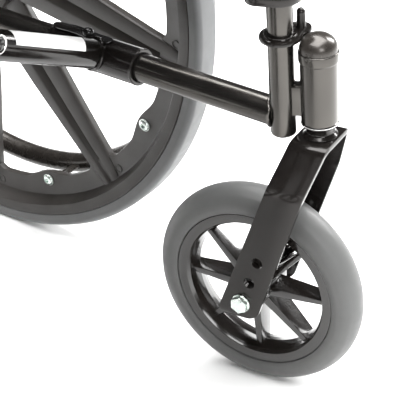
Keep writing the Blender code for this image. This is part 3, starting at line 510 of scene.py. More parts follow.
def slab(outline, low, high, place, edge=0.0006):
    """A flat outline between two heights of the place's Z axis, with softened edges."""
    bm = loft([[place @ Vector((x, y, z)) for x, y in outline] for z in (low, high)])
    return soften(bm, edge)


def soften(bm, width, segments=2, angle=40.0):
    """Round over the edges that are sharper than an angle."""
    if width == 0:
        return bm
    limit = math.radians(angle)
    edges = [e for e in bm.edges if len(e.link_faces) == 2 and e.calc_face_angle(0) > limit]
    bmesh.ops.bevel(
        bm, geom=edges, offset=width, segments=segments, profile=0.5, affect="EDGES", clamp_overlap=True
    )
    return bm


def merge(*parts):
    """One bmesh that holds all of these, which are used up."""
    whole = parts[0]
    for part in parts[1:]:
        mesh = bpy.data.meshes.new("part")
        part.to_mesh(mesh)
        part.free()
        whole.from_mesh(mesh)
        bpy.data.meshes.remove(mesh)
    return whole


def temporary(bm):
    mesh = bpy.data.meshes.new("temporary")
    bm.to_mesh(mesh)
    bm.free()
    obj = bpy.data.objects.new("temporary", mesh)
    bpy.context.scene.collection.objects.link(obj)
    return obj


def boolean(bm, others, operation):
    """Join others to a mesh, or cut them out of it, and give the result as a bmesh."""
    base = temporary(bm)
    tools = [temporary(other) for other in others]
    for tool in tools:
        modifier = base.modifiers.new("step", "BOOLEAN")
        modifier.operation = operation
        modifier.solver = "EXACT"
        modifier.object = tool
    bpy.context.view_layer.update()
    graph = bpy.context.evaluated_depsgraph_get()
    result = bmesh.new()
    result.from_object(base, graph)
    for obj in [base] + tools:
        mesh = obj.data
        bpy.data.objects.remove(obj, do_unlink=True)
        bpy.data.meshes.remove(mesh)
    return result


def add_piece(name, bm, look, body, stands_for=(), smooth=35.0):
    """Make a piece of the mesh, dress it and let it ride on a CAD body."""
    mesh = bpy.data.meshes.new(name)
    bm.to_mesh(mesh)
    mesh.materials.append(LOOKS[look])
    mesh.shade_smooth()
    mesh.set_sharp_from_angle(angle=math.radians(smooth))
    obj = bpy.data.objects.new(name, mesh)
    bpy.context.scene.collection.objects.link(obj)
    if body:
        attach(obj, body)
    if stands_for:
        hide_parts(*stands_for)
    return obj


def pair(name, bm, look, body, stands_for=(), smooth=35.0):
    """A left piece and its mirror image. Names hold {} where the side's name goes."""
    made = []
    for tag in ("left", "right"):
        if tag == "right":
            bmesh.ops.scale(bm, vec=(-1, 1, 1), verts=bm.verts)
            bmesh.ops.reverse_faces(bm, faces=bm.faces)
        nodes = [entry.format(tag) for entry in stands_for]
        made.append(add_piece(name.format(tag), bm, look.format(tag), body.format(tag), nodes, smooth))
    bm.free()
    return made


def hexagon(across_flats):
    return circle(across_flats / math.sqrt(3), 6)


def hex_head(place, across_flats, height, washer=0.0):
    """Hexagon head on a thin washer, seated at z = 0 of its place and standing along +Z."""
    head = slab(hexagon(across_flats), 0.0008 if washer else 0.0, height, place, 0.0006)
    if not washer:
        return head
    outline = rounded([(0, 0, 0), (washer, 0, 0.0003), (washer, 0.001, 0.0003), (0, 0.001, 0)])
    return merge(head, turned(outline, place, 32))


def button_head(place, radius, height, socket):
    """Domed screw head with a hexagon socket, on a flat flange."""
    outline = [(0, 0), (radius, 0), (radius, height * 0.25)]
    outline += dome(radius * 0.93, height * 0.28, height * 0.72)
    drill = slab(hexagon(socket), height * 0.35, height * 1.5, place, 0)
    return boolean(turned(outline, place, 28), [drill], "DIFFERENCE")


# ---------------------------------------------------------------- frame tubes
def make_side_frame():
    x = HALF_WIDTH
    path = bent_path(
        [
            ((x, POST_Y, POST_BOTTOM - 0.0035), 0),
            ((x, POST_Y, UPPER_Z - 0.002), UPPER_BEND),
            ((x, CANE_Y - POST_R, UPPER_Z), 0),
        ],
        16,
    )
    post = swept(path, POST_R, 36, (0.0030, 0.0003))
    arm = Vector((ARM_X, ARM_FRONT, 0))
    low, high = UPPER_Z - 0.040, UPPER_Z + 0.012
    socket_outline = rounded(
        [
            (0.0102, low, 0.0008),
            (0.0135, low, 0.0012),
            (0.0135, high, 0.0012),
            (0.0102, high, 0.0008),
        ]
    )
    socket = turned(socket_outline, Matrix.Translation(arm), 32)
    lug_place = Matrix.Translation(((x + ARM_X - 0.003) / 2, ARM_FRONT, UPPER_Z - 0.002))
    lug = slab(rectangle(-0.013, -0.005, 0.006, 0.005, 0.001), -0.009, 0.008, lug_place)
    pair("front_post_and_rail_{}", merge(post, socket, lug), "frame_paint", "{}_frame", ["side_tube_{}"])

    rail = swept([(x, POST_Y + 0.0075, RAIL_Z), (x, CANE_Y - 0.0075, RAIL_Z)], RAIL_R, 40, (0.0008, 0.0008))
    beads = []
    for centre_y, way in ((POST_Y, 1), (CANE_Y, -1)):
        ring = []
        for angle in angles(36):
            across = (RAIL_R + 0.0002) * math.cos(angle)
            inner = math.sqrt(max(POST_R**2 - across**2, 0.006**2))
            y = centre_y + way * (inner + 0.0009 + 0.0003 * math.sin(9 * angle))
            ring.append(Vector((x + across, y, RAIL_Z + RAIL_R * math.sin(angle))))
        beads.append(bead(ring, 0.0016))
    pair("lower_side_rail_{}", merge(rail, *beads), "frame_paint", "{}_frame", ["lower_rail_{}"])

    lean = CANE_Y + CANE_LEAN
    cane_path = bent_path(
        [
            ((x, CANE_Y, CANE_BOTTOM), 0),
            ((x, CANE_Y, BEND_START_Z), 0.200),
            ((x, lean, CANE_TOP), 0.045),
            ((x, HANDLE_END, CANE_TOP), 0),
        ],
        14,
    )
    cane = swept(cane_path, POST_R, 36, (0.0025, 0.0010))
    tab_start, tab_end = CANE_Y + 0.006, PIVOT["arm_flip_left"].y + 0.009
    tab_low, tab_high = ARM_TOP - 0.012, ARM_TOP + 0.012
    tab_outline = rounded(
        [
            (tab_start, tab_low, 0.002),
            (tab_end, tab_low, 0.009),
            (tab_end, tab_high, 0.009),
            (tab_start, tab_high, 0.002),
        ],
        6,
    )
    tab = slab(tab_outline, x + 0.006, ARM_X - ARM_R - 0.0006, UPRIGHT)
    pair("back_cane_tube_{}", merge(cane, tab), "frame_paint", "{}_frame", ["back_cane_{}"])


def bead(points, radius, sides=10):
    """A weld bead: a closed round ring along a loop of points, a little uneven."""
    rings = []
    count = len(points)
    centre = sum(points, Vector()) / count
    for i, point in enumerate(points):
        tangent = (points[(i + 1) % count] - points[i - 1]).normalized()
        out = point - centre
        out = (out - tangent * tangent.dot(out)).normalized()
        other = tangent.cross(out)
        size = radius * (1 + 0.12 * math.sin(i * 2.4))
        rings.append([point + (out * u + other * v) * size for u, v in circle(1.0, sides)])
    return loft(rings, closed=True)


# ---------------------------------------------------------------- front fittings
def make_front_fittings():
    x = HALF_WIDTH
    low_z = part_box("hanger_collar_lower_left")[0].z
    low_top = low_z + COLLAR_THICK
    bore = POST_R + BORE_PLAY
    lobe = (0.0195, -0.0050, 0.0108)
    collar_place = Matrix.Translation((x, POST_Y, 0))
    outline = hull_of_circles((0, 0, 0.0180), lobe, 0.55)
    collar = slab(outline, low_z - 0.0012, low_top, collar_place, 0.0019)
    hole = cylinder(bore, low_z - 0.01, low_top + 0.01, collar_place, 48)
    collar = boolean(collar, [hole], "DIFFERENCE")
    seat_outline = rounded(
        [
            (POST_R + 0.0003, low_top - 0.001, 0),
            (0.0146, low_top - 0.001, 0),
            (0.0138, low_top + 0.0013, 0.0008),
            (POST_R + 0.0003, low_top + 0.0016, 0),
        ]
    )
    seat = turned(seat_outline, collar_place, 48)
    pin_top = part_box("hanger_collar_lower_left")[1].z
    pin_outline = [(0, low_top - 0.001), (0.0050, low_top - 0.001), (0.0040, low_top + 0.0014)]
    pin_outline += [(PIN_R, pin_top - 0.0030)] + dome(PIN_R, pin_top - 0.0030, 0.0042, first=1)
    pin = turned(pin_outline, Matrix.Translation((x + 0.0195, POST_Y - 0.0071, 0)), 24)
    pair("hanger_seat_plate_{}", merge(collar, seat), "black_paint", "{}_frame", ["hanger_collar_lower_{}"])
    pair("hanger_hinge_pin_{}", pin, "black_paint", "{}_frame")

    up_low, up_top = (corner.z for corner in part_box("hanger_collar_upper_left"))
    outline = hull_of_circles((0, 0, 0.0200), (-0.012, 0.010, 0.0130), 1.0)
    upper = slab(outline, up_low, up_top, collar_place, 0.0016)
    hole = cylinder(bore, up_low - 0.01, up_top + 0.01, collar_place, 48)
    upper = boolean(upper, [hole], "DIFFERENCE")
    pair("hanger_upper_collar_{}", upper, "black_paint", "{}_frame", ["hanger_collar_upper_{}"])
    make_housing(x)


def hull_of_circles(first, second, neck):
    """Outline round two overlapping discs, (x, y, radius) each, with the sides drawn in by a neck share."""
    a, b = Vector(first[:2]), Vector(second[:2])
    along = b - a
    base = math.atan2(along.y, along.x)
    open_a = math.radians(46) if neck < 1 else math.acos((first[2] - second[2]) / along.length)
    open_b = math.radians(104) if neck < 1 else open_a
    outline = sector(a, first[2], base + open_a, 2 * math.pi - 2 * open_a, 28)
    outline += sector(b, second[2], base - open_b, 2 * open_b, 16)
    return [tuple(p) for p in outline]


def sector(centre, radius, start, sweep, steps):
    """Points along an arc in the plane."""
    turns = [start + sweep * step / steps for step in range(steps + 1)]
    return [centre + Vector((math.cos(a), math.sin(a))) * radius for a in turns]


def make_housing(x):
    stem_place = Matrix.Translation((STEM.x, STEM.y, 0))
    band_low = HOUSING_TOP - 0.0062
    band_top = HOUSING_TOP + 0.0034
    housing = turned(
        rounded(
            [
                (0.0095, HOUSING_LOW, 0.0005),
                (HOUSING_R, HOUSING_LOW, 0.0012),
                (HOUSING_R, band_low, 0.0006),
                (0.0171, band_low + 0.0012, 0.0010),
                (0.0171, band_top, 0.0008),
                (0.0155, band_top, 0.0006),
                (0.0155, HOUSING_TOP - 0.002, 0.0006),
                (0.0095, HOUSING_TOP - 0.002, 0.0006),
            ],
            3,
        ),
        stem_place,
        64,
    )
    towards = Vector((x - STEM.x, POST_Y - STEM.y, 0.0))
    web_place = Matrix.Translation(Vector((STEM.x, STEM.y, HOUSING_WEB_Z)) + towards * 0.60)
    web_place = web_place @ Matrix.Rotation(math.atan2(towards.y, towards.x), 4, "Z")
    half = towards.length * 0.24
    web = slab(rectangle(-half, -0.0062, half, 0.0062, 0.0006), -0.0135, 0.0135, web_place, 0.0008)
    pair("caster_housing_tube_{}", merge(housing, web), "frame_paint", "{}_frame", ["caster_housing_{}"])
    base = HOUSING_TOP + 0.0008
    outline = [(0, base), (0.0152, base), (0.0152, base + 0.0024), (DOME_CAP_R, base + 0.0030)]
    outline += dome(DOME_CAP_R, base + 0.0046, CAP_TOP - base - 0.0046, 12)
    pair("caster_dome_cap_{}", turned(outline, stem_place, 56), "cap_plastic", "{}_frame", ["caster_cap_{}"])


# ---------------------------------------------------------------- casters
def caster_place():
    """X along the axle, Y square to it on the level, Z up, from the middle of the wheel."""
    across = AXIS["caster_spin_left"].normalized()
    up = Vector((0, 0, 1))
    return place_of(across, up.cross(across), up, CASTER_AXLE)


def make_caster():
    place = caster_place()
    trail = (Vector((CASTER_AXLE.x, CASTER_AXLE.y)) - Vector((STEM.x, STEM.y))).length
    top = CROWN_TOP - CASTER_R
    make_fork(place, trail, top)
    make_stem()
    for way, name in ((-1, "inner"), (1, "outer")):
        seat = place @ Vector((way * CASTER_HEAD_X, 0, 0))
        head_place = place_along(seat, place.col[0].to_3d() * way, (0.35, 0, 1))
        pair(
            "caster_axle_head_" + name + "_{}",
            hex_head(head_place, 0.0146, 0.0054, 0.0088),
            "zinc",
            "caster_fork_{}",
            ["caster_axle_{}"] if way < 0 else [],
        )
    spacers = []
    for way in (-1, 1):
        a = place @ Vector((way * 0.0327, 0, 0))
        b = place @ Vector((way * 0.0250, 0, 0))
        spacers.append(swept([a, b], 0.0070, 24, (0.0005, 0.0005)))
    pair("caster_spacers_{}", merge(*spacers), "zinc", "caster_fork_{}")
    make_caster_wheel(place)


def make_fork(place, trail, top):
    wide, bar = 0.0355, 0.0050
    bend = 0.1215
    narrow = 0.0208
    foot = -0.0155
    path = bent_path(
        [
            ((-wide, 0, foot), 0),
            ((-wide, 0, bend), 0.030),
            ((-narrow, 0, top - bar / 2), 0.0075),
            ((narrow, 0, top - bar / 2), 0.0075),
            ((wide, 0, bend), 0.030),
            ((wide, 0, foot), 0),
        ],
        8,
    )
    corner = 0.0080
    stops = [foot + corner * (1 - math.cos(math.radians(a))) for a in (0, 15, 30, 45, 60, 75, 90)]
    start = [Vector((-wide, 0, z)) for z in stops]
    line = start + path[1:-1] + [Vector((-p.x, 0, p.z)) for p in reversed(start)]
    rings = []
    for i, point in enumerate(line):
        tangent = (line[min(i + 1, len(line) - 1)] - line[max(i - 1, 0)]).normalized()
        normal = Vector((tangent.z, 0, -tangent.x))
        half = 0.0174 + 0.0022 * (top - point.z) / (top - foot)
        below = max(0.0, corner - (point.z - foot))
        half -= corner - math.sqrt(max(corner**2 - below**2, 0.0))
        lean = -trail * point.z / top
        section = rectangle(-bar / 2, -half, bar / 2, half, 0.0007, 2)
        rings.append([place @ (point + normal * u + Vector((0, v + lean, 0))) for u, v in section])
    fork = loft(rings)
    drills = []
    slope = math.cos(math.atan2(trail, top))
    for index in range(3):
        z = index * FORK_HOLE_STEP * slope
        a = place @ Vector((-0.06, -trail * z / top, z))
        b = place @ Vector((0.06, -trail * z / top, z))
        drills.append(swept([a, b], FORK_HOLE_R, 28, (0, 0)))
    fork = boolean(fork, drills, "DIFFERENCE")
    pair("bent_bar_fork_{}", fork, "black_paint", "caster_fork_{}", ["caster_fork_{}"], 30.0)


def make_stem():
    stem_place = Matrix.Translation((STEM.x, STEM.y, 0))
    seat = turned(
        rounded(
            [
                (0, CROWN_TOP + 0.0003, 0),
                (0.0148, CROWN_TOP + 0.0003, 0.0006),
                (0.0150, CROWN_TOP + 0.0012, 0.0006),
                (0.0118, CROWN_TOP + 0.0040, 0.0020),
                (0.0128, HOUSING_LOW - 0.0042, 0.0014),
                (0.0158, HOUSING_LOW - 0.0024, 0.0004),
                (0.0158, HOUSING_LOW - 0.0014, 0.0002),
                (0.0090, HOUSING_LOW - 0.0012, 0.0003),
                (0.0088, HOUSING_LOW + 0.0100, 0),
                (0, HOUSING_LOW + 0.0100, 0),
            ],
            3,
        ),
        stem_place,
        56,
    )
    lip = [(0.0092, -0.0013, 0), (0.0164, -0.0013, 0.0004), (0.0164, -0.0003, 0.0004), (0.0092, -0.0003, 0)]
    ring = turned([(r, HOUSING_LOW + z) for r, z in rounded(lip, 2)], stem_place, 56)
    pair("caster_bearing_lip_{}", ring, "bright_steel", "caster_fork_{}")
    pair("caster_bearing_seat_{}", seat, "black_paint", "caster_fork_{}", ["caster_stem_{}"])
    under = place_along((STEM.x, STEM.y, CROWN_TOP - 0.0053), (0, 0, -1), (1, 0, 0))
    pair("caster_stem_head_{}", hex_head(under, 0.0150, 0.0070, 0.0090), "zinc", "caster_fork_{}")


def both_sides(half, middle):
    """Corner points of one side, the one in the middle, and the side's mirror image."""
    return half + [middle] + [(r, -z, corner) for r, z, corner in reversed(half)]


def make_caster_wheel(place):
    across = place.col[0].to_3d()
    stand = place_along(CASTER_AXLE, across, (0, 0, -1))
    half = 0.0182
    tread = []
    for step in range(-16, 17):
        angle = math.radians(5.4 * step)
        crown = 0.0004 * math.exp(-((abs(step) - 8.5) ** 2) / 1.2)
        r = CASTER_R - half + (half + crown) * math.cos(angle)
        tread.append((r, (half + crown * 0.3) * math.sin(angle)))
    top_r = max(r for r, _ in tread)
    tread = [(r * CASTER_R / top_r, z) for r, z in tread]
    bead_seat = [(0.0776, -0.0136), (0.0779, -0.0162), (0.0795, -0.0173)]
    outline = bead_seat + tread + [(r, -z) for r, z in reversed(bead_seat)]
    tyre = turned(outline, stand, 128)
    pair("caster_tyre_ring_{}", tyre, "caster_tyre_{}", "caster_wheel_{}", ["caster_tyre_{}"])

    well = [(0.0686, 0.0150, 0.0010), (0.0664, 0.0118, 0.0014), (0.0645, 0.0060, 0.0012)]
    rim_outline = [(0.0773, -0.0156, 0.0006), (0.0773, 0.0156, 0.0006)]
    rim_outline += both_sides(well, (0.0630, 0.0000, 0.0010))
    flange = [
        (0.0046, -0.0247, 0.0004),
        (0.0120, -0.0247, 0.0006),
        (0.0146, -0.0225, 0.0010),
        (0.0152, -0.0120, 0.0010),
    ]
    hub_outline = both_sides(flange, (0.0175, 0.0, 0.003))
    parts = [turned(rounded(rim_outline, 3), stand, 128), turned(rounded(hub_outline, 3), stand, 64)]
    for index in range(CASTER_SPOKES):
        turn = stand @ Matrix.Rotation(2 * math.pi * index / CASTER_SPOKES, 4, "Z")
        rings = []
        for share in (0.0, 0.12, 0.35, 0.6, 0.8, 1.0):
            r = 0.0120 + 0.0530 * share
            wide = 0.0046 - 0.0020 * share
            deep = 0.0120 - 0.0036 * share
            waist, corner = wide * 0.8, 0.0007
            near = [(-wide, -deep, corner), (wide, -deep, corner), (waist, 0, 0)]
            section = rounded(near + [(-x, -y, size) for x, y, size in near], 2)
            rings.append([turn @ Vector((r, u, v)) for u, v in section])
        parts.append(loft(rings))
    pair("caster_rim_wheel_{}", merge(*parts), "caster_plastic", "caster_wheel_{}", ["caster_rim_{}"])


# ---------------------------------------------------------------- rear wheels
def wheel_angle(index):
    """Angle of a spoke in the wheel's own frame, where X is forwards and Y is down."""
    return REAR_SPOKE_PHASE + 2 * math.pi * index / REAR_SPOKES


def rear_place():
    """X forwards (-Y of the chair), Y downwards, Z outboard."""
    return place_of((0, -1, 0), (0, 0, -1), (1, 0, 0), REAR_HUB)


def web_radius(angle):
    """Inner edge of the rim's web, with a swelling at each bolt and a pocket beside each spoke."""
    pitch = 2 * math.pi / REAR_SPOKES
    share = ((angle - REAR_SPOKE_PHASE) / pitch) % 1.0
    from_bolt = abs(share - 0.5) * pitch * WEB_BOLT_R
    from_spoke = min(share, 1 - share) * pitch * 0.250
    swell = 0.5 + 0.5 * math.cos(math.pi * min(1.0, from_bolt / 0.036))
    edge = 0.2545 - 0.0066 * swell
    root = max(0.0, 1 - max(0.0, from_spoke - 0.0160) / 0.0100)
    return edge - 0.0055 * root**2.2


def make_rear_wheel():
    place = rear_place()
    rings = []
    for angle in angles(384):
        inner = web_radius(angle)
        section = [
            (inner, 0.0010),
            (inner + 0.0003, 0.0003),
            (inner + 0.0011, 0.0),
            (0.2724, 0.0),
            (0.2740, -0.0008),
            (0.2746, -0.0024),
            (0.2792, -0.0122),
            (0.2802, -0.0135),
            (0.2816, -0.0139),
            (0.2906, -0.0139),
            (0.2913, -0.0134),
            (0.2913, -0.0120),
            (0.2885, -0.0110),
            (0.2885, 0.0110),
            (0.2913, 0.0120),
            (0.2913, 0.0134),
            (0.2906, 0.0139),
            (0.2816, 0.0139),
            (0.2802, 0.0135),
            (0.2746, 0.0084),
            (0.2730, 0.0070),
            (inner + 0.0011, 0.0070),
            (inner + 0.0003, 0.0067),
            (inner, 0.0060),
        ]
        direction = Vector((math.cos(angle), math.sin(angle), 0))
        rings.append([place @ (direction * r + Vector((0, 0, w))) for r, w in section])
    parts = [loft(rings, closed=True), make_hub(place)]
    for index in range(REAR_SPOKES):
        turn = place @ Matrix.Rotation(wheel_angle(index), 4, "Z")
        parts.append(make_spoke(turn))
        mark = place_along(turn @ Vector((0.2660, -0.0192, 0.0004)), (-1, 0, 0))
        lip = rounded([(0.0034, 0, 0), (0.0046, 0, 0), (0.0046, 0.0010, 0.0004), (0.0034, 0.0010, 0.0004)], 2)
        parts.append(turned(lip, mark, 28))
    pair("mag_wheel_{}", merge(*parts), "wheel_plastic", "rear_wheel_{}", ["rear_rim_{}"], 32.0)

    side = 0.0131
    tyre = [(0.2890, -0.0105), (0.2917, -0.0118), (0.2920, -side), (0.2965, -side - 0.0003)]
    for step in range(9):
        angle = math.radians(11.25 * step)
        tyre.append((0.2990 + 0.0060 * math.sin(angle), -(side + 0.0003 - 0.0052 * (1 - math.cos(angle)))))
    tyre += [(REAR_R, 0.0)] + [(r, -w) for r, w in reversed(tyre)]
    pair("solid_tyre_{}", turned(tyre, place, 192), "rear_tyre_{}", "rear_wheel_{}", ["rear_tyre_{}"])

    bolts = []
    for index in range(REAR_SPOKES):
        turn = place @ Matrix.Rotation(wheel_angle(index + 0.5), 4, "Z")
        seat = turn @ Vector((WEB_BOLT_R, 0, -0.0001))
        bolts.append(button_head(place_along(seat, (-1, 0, 0), (0, 0.3 * index, 1)), 0.0064, 0.0034, 0.0050))
    pair("handrim_bolts_{}", merge(*bolts), "zinc", "rear_wheel_{}")
    make_handrim(place)
    make_rear_axle(place)


def make_hub(place):
    outline = rounded(
        [
            (0.0072, -0.0296, 0.0004),
            (0.0225, -0.0296, 0.0010),
            (0.0260, -0.0260, 0.0015),
            (0.0290, -0.0130, 0.0030),
            (0.0675, -0.0118, 0.0020),
            (0.0712, -0.0088, 0.0015),
            (0.0712, 0.0105, 0.0015),
            (0.0675, 0.0132, 0.0020),
            (0.0300, 0.0150, 0.0030),
            (0.0270, 0.0270, 0.0015),
            (0.0235, 0.0296, 0.0010),
            (0.0072, 0.0296, 0.0004),
        ],
        4,
    )
    return turned(outline, place, 96)


def make_spoke(turn):
    """A thin tapering blade with a sharp groove along the middle and a bright flank beside it."""
    rings = []
    for r, half, lift, groove in (
        (0.055, 0.0290, -0.0004, 0.0030),
        (0.0715, 0.0286, -0.0006, 0.0034),
        (0.080, 0.0282, -0.0008, 0.0038),
        (0.095, 0.0272, -0.0010, 0.0040),
        (0.132, 0.0250, -0.0012, 0.0042),
        (0.152, 0.0240, -0.0014, 0.0042),
        (0.190, 0.0206, -0.0016, 0.0042),
        (0.235, 0.0172, -0.0016, 0.0040),
        (0.248, 0.0166, -0.0012, 0.0036),
        (0.262, 0.0152, -0.0012, 0.0034),
        (0.2724, 0.0128, -0.0014, 0.0028),
        (0.2790, 0.0095, -0.0020, 0.0010),
    ):
        section = [
            (-half, 0.0030),
            (-half, lift + 0.0014),
            (-half + 0.0005, lift + 0.0005),
            (-half + 0.0016, lift),
            (-half * 0.42, lift - 0.0006),
            (-half * 0.16, lift - 0.0002),
            (-half * 0.04, lift + groove),
            (half * 0.03, lift + groove),
            (half * 0.30, lift - 0.0008),
            (half * 0.42, lift - 0.0012),
            (half - 0.0016, lift),
            (half - 0.0005, lift + 0.0005),
            (half, lift + 0.0014),
            (half, 0.0030),
            (half - 0.0012, 0.0088),
            (half * 0.50, 0.0094),
            (-half * 0.50, 0.0094),
            (-half + 0.0012, 0.0088),
        ]
        rings.append([turn @ Vector((r, t, w)) for t, w in section])
    return loft(rings)


def make_handrim(place):
    outline = [(HANDRIM_R + u, HANDRIM_OUT + v) for u, v in circle(HANDRIM_TUBE)]
    ring = turned(outline, place, 192)
    tabs = []
    for index in range(REAR_SPOKES):
        turn = place @ Matrix.Rotation(wheel_angle(index + 0.5), 4, "Z")
        rings = []
        for w, r, half in (
            (0.0073, 0.2500, 0.0150),
            (0.0080, 0.2560, 0.0142),
            (0.0110, 0.2598, 0.0112),
            (0.0180, 0.2606, 0.0076),
            (0.0280, 0.2606, 0.0054),
            (0.0370, 0.2606, 0.0052),
            (0.0415, 0.2606, 0.0064),
        ):
            section = rectangle(-0.0017, -half, 0.0017, half, 0.0008, 2)
            tilt = 0.6 if w < 0.009 else 0.0
            rings.append([turn @ Vector((r + u * (1 - tilt), v, w + u * tilt)) for u, v in section])
        tabs.append(loft(rings))
    pair("push_rim_{}", merge(ring, *tabs), "cap_plastic", "rear_wheel_{}", ["handrim_{}"])


def make_rear_axle(place):
    for way, name in ((-1, "inner"), (1, "outer")):
        face = place_along(place @ Vector((0, 0, way * 0.0297)), (way, 0, 0))
        rim = [(0.0072, -0.001, 0), (0.0200, -0.001, 0), (0.0200, 0.0006, 0.0004), (0.0072, 0.0006, 0.0004)]
        shield = turned(rounded(rim), face, 48)
        pair("hub_bearing_" + name + "_{}", shield, "bright_steel", "rear_wheel_{}")
    outside = place_along(place @ Vector((0, 0, 0.0306)), (1, 0, 0))
    start = Vector((HALF_WIDTH + 0.004, REAR_HUB.y, REAR_HUB.z))
    rod = swept([start, place @ Vector((0, 0, 0.031))], 0.0062, 24)
    nut_place = place_along((HALF_WIDTH + RAIL_R, REAR_HUB.y, REAR_HUB.z), (-1, 0, 0), (0, 0.4, 1))
    axle = merge(rod, hex_head(outside, 0.0190, 0.0110, 0.0140), hex_head(nut_place, 0.0180, 0.0085, 0.0130))
    pair("wheel_axle_bolt_{}", axle, "zinc", "{}_frame", ["rear_axle_{}"])


# ---------------------------------------------------------------- cross brace
def brace_frame(side, y):
    """X along a cross tube from its foot, Y to the front of the chair, Z up and square to both."""
    along = Vector((-side, 0.0, BRACE_SLOPE)).normalized()
    front = Vector((0, -1, 0))
    square = along.cross(front) if side > 0 else front.cross(along)
    return place_of(along, front, square, (side * HALF_WIDTH, y, RAIL_Z))


def make_cross_tube(letter, side):
    y = BRACE_Y[letter]
    place = brace_frame(side, y)
    body = "brace_" + letter
    reach = (HALF_WIDTH + SEAT_RAIL_X) / place.col[0].to_3d().normalized().dot(Vector((-side, 0, 0)))
    straight = swept([place @ Vector((0.004, 0, 0)), place @ Vector((reach, 0, 0))], BRACE_R, 40, (0, 0.0006))
    foot = Vector((side * HALF_WIDTH, 0, RAIL_Z))
    lie = place_along(foot, (0, 1, 0))
    low, high = SLEEVE_Y
    solid = cylinder(SLEEVE_R, low, high, lie, 56)
    drill = cylinder(0.0134, low - 0.02, high + 0.02, lie, 56)
    joined = boolean(boolean(straight, [solid], "UNION"), [drill], "DIFFERENCE")
    lips = []
    corners = [(0.0135, 0, 0.0008), (0.0170, 0, 0.0009), (0.0170, 0.0022, 0.0007), (0.0135, 0.0022, 0)]
    ring = rounded(corners, 3)
    for end, way in ((low, 1), (high, -1)):
        lips.append(turned([(r, end + way * (z - 0.0006)) for r, z in ring], lie, 56))
    seam = []
    for across, up in circle(BRACE_R, 40):
        out = math.sqrt(SLEEVE_R**2 - up**2) + 0.0010
        seam.append(place @ Vector((out, across * 1.03, up * 1.03)))
    tube_piece = merge(joined, bead(seam, 0.0021), *lips)
    add_piece("cross_brace_tube_" + letter, tube_piece, "black_paint", body, ["cross_tube_" + letter])
    tag = "right" if side > 0 else "left"
    rail_x = -side * SEAT_RAIL_X
    front, back = SEAT_RAIL_Y
    rail = swept([(rail_x, front + 0.001, SEAT_RAIL_Z), (rail_x, back - 0.001, SEAT_RAIL_Z)], POST_R, 36)
    top = []
    for across, up in circle(BRACE_R, 40):
        in_rail = math.sqrt(max(POST_R**2 - up**2, 0.003**2))
        top.append(place @ Vector((reach - in_rail - 0.0006, across * 1.02, up * 1.02)))
    rail_piece = merge(rail, bead(top, 0.0017))
    add_piece("seat_rail_tube_" + tag, rail_piece, "frame_paint", body, ["seat_rail_" + tag])
    shape = [(0, -0.004), (0.0109, -0.004), (0.0112, 0.0), (0.0106, 0.0014), (0.0080, 0.0021), (0, 0.0024)]
    plugs = []
    for end, way in ((front, -1), (back, 1)):
        seat = place_along((rail_x, end, SEAT_RAIL_Z), (0, way, 0))
        plugs.append(turned(shape, seat, 36))
    add_piece("seat_rail_plugs_" + tag, merge(*plugs), "black_plastic", body)


def make_brace():
    make_cross_tube("a", 1)
    make_cross_tube("b", -1)
    bolt_z = RAIL_Z + BRACE_SLOPE * HALF_WIDTH
    front = BRACE_Y["a"] - BRACE_R
    back = BRACE_Y["b"] + BRACE_R
    seat = place_along((0, front - 0.0006, bolt_z), (0, -1, 0), (1, 0, 0.2))
    head = button_head(seat, 0.0085, 0.0052, 0.0060)
    corners = [(0.0042, 0, 0), (0.0105, 0, 0.0003), (0.0105, 0.0009, 0.0003), (0.0042, 0.0009, 0)]
    washer = turned(rounded(corners, 2), place_along((0, front + 0.0002, bolt_z), (0, -1, 0)), 40)
    nut = hex_head(place_along((0, back, bolt_z), (0, 1, 0), (0.3, 0, 1)), 0.0130, 0.0066, 0.0085)
    shank = swept([(0, front, bolt_z), (0, back + 0.0100, bolt_z)], 0.0038, 20)
    gap = [(0, BRACE_Y["a"] + BRACE_R, bolt_z), (0, BRACE_Y["b"] - BRACE_R, bolt_z)]
    between = swept(gap, 0.0100, 36, (0.0004, 0.0004))
    add_piece("cross_pivot_bolt", merge(head, washer, nut, shank, between), "zinc", "brace_a", ["pivot_bolt"])
    make_label()
    make_tube_stud()
    make_strap()


def on_tube(place, along, angle, lift):
    """A point over cross tube a, by its way along the tube and its angle up from the front."""
    turn = math.radians(angle)
    size = BRACE_R + lift
    return place @ Vector((along, size * math.cos(turn), size * math.sin(turn)))


def make_label():
    """A blank paper label wrapped over the front and top of the tube."""
    place = brace_frame(1, BRACE_Y["a"])
    start, end = LABEL_SPAN
    sheets = []
    for lift in (0.00005, 0.00022):
        rows = []
        for i in range(25):
            share = i / 24
            along = start + (end - start) * share
            slant = 0.0045 * max(0.0, 1 - share / 0.06)
            round_share = [j / 16 for j in range(17)]
            rows.append([on_tube(place, along + slant * (1 - s), 16 + 70 * s, lift) for s in round_share])
        sheets.append(rows)
    rings = [low_row + list(reversed(high_row)) for low_row, high_row in zip(*sheets)]
    add_piece("blank_label", loft(rings), "label", "brace_a")


def make_tube_stud():
    """A washer and a domed stud on the front of cross tube a."""
    place = brace_frame(1, BRACE_Y["a"])
    seat = place @ Vector((STUD_ALONG, BRACE_R - 0.0016, 0.0028))
    face = place_along(seat, (0, -1, 0), (1, 0, 0))
    ring = rounded(
        [
            (0.0062, 0.0, 0),
            (0.0088, 0.0, 0.0004),
            (0.0088, 0.0030, 0.0009),
            (0.0070, 0.0030, 0.0009),
            (0.0062, 0.0018, 0),
        ],
        3,
    )
    add_piece("stud_washer", turned(ring, face, 40), "bright_steel", "brace_a")
    stud = [(0, 0.0), (0.0064, 0.0), (0.0064, 0.0018)] + dome(0.0060, 0.0020, 0.0022)
    add_piece("stud_dome", turned(stud, face, 32), "black_plastic", "brace_a")


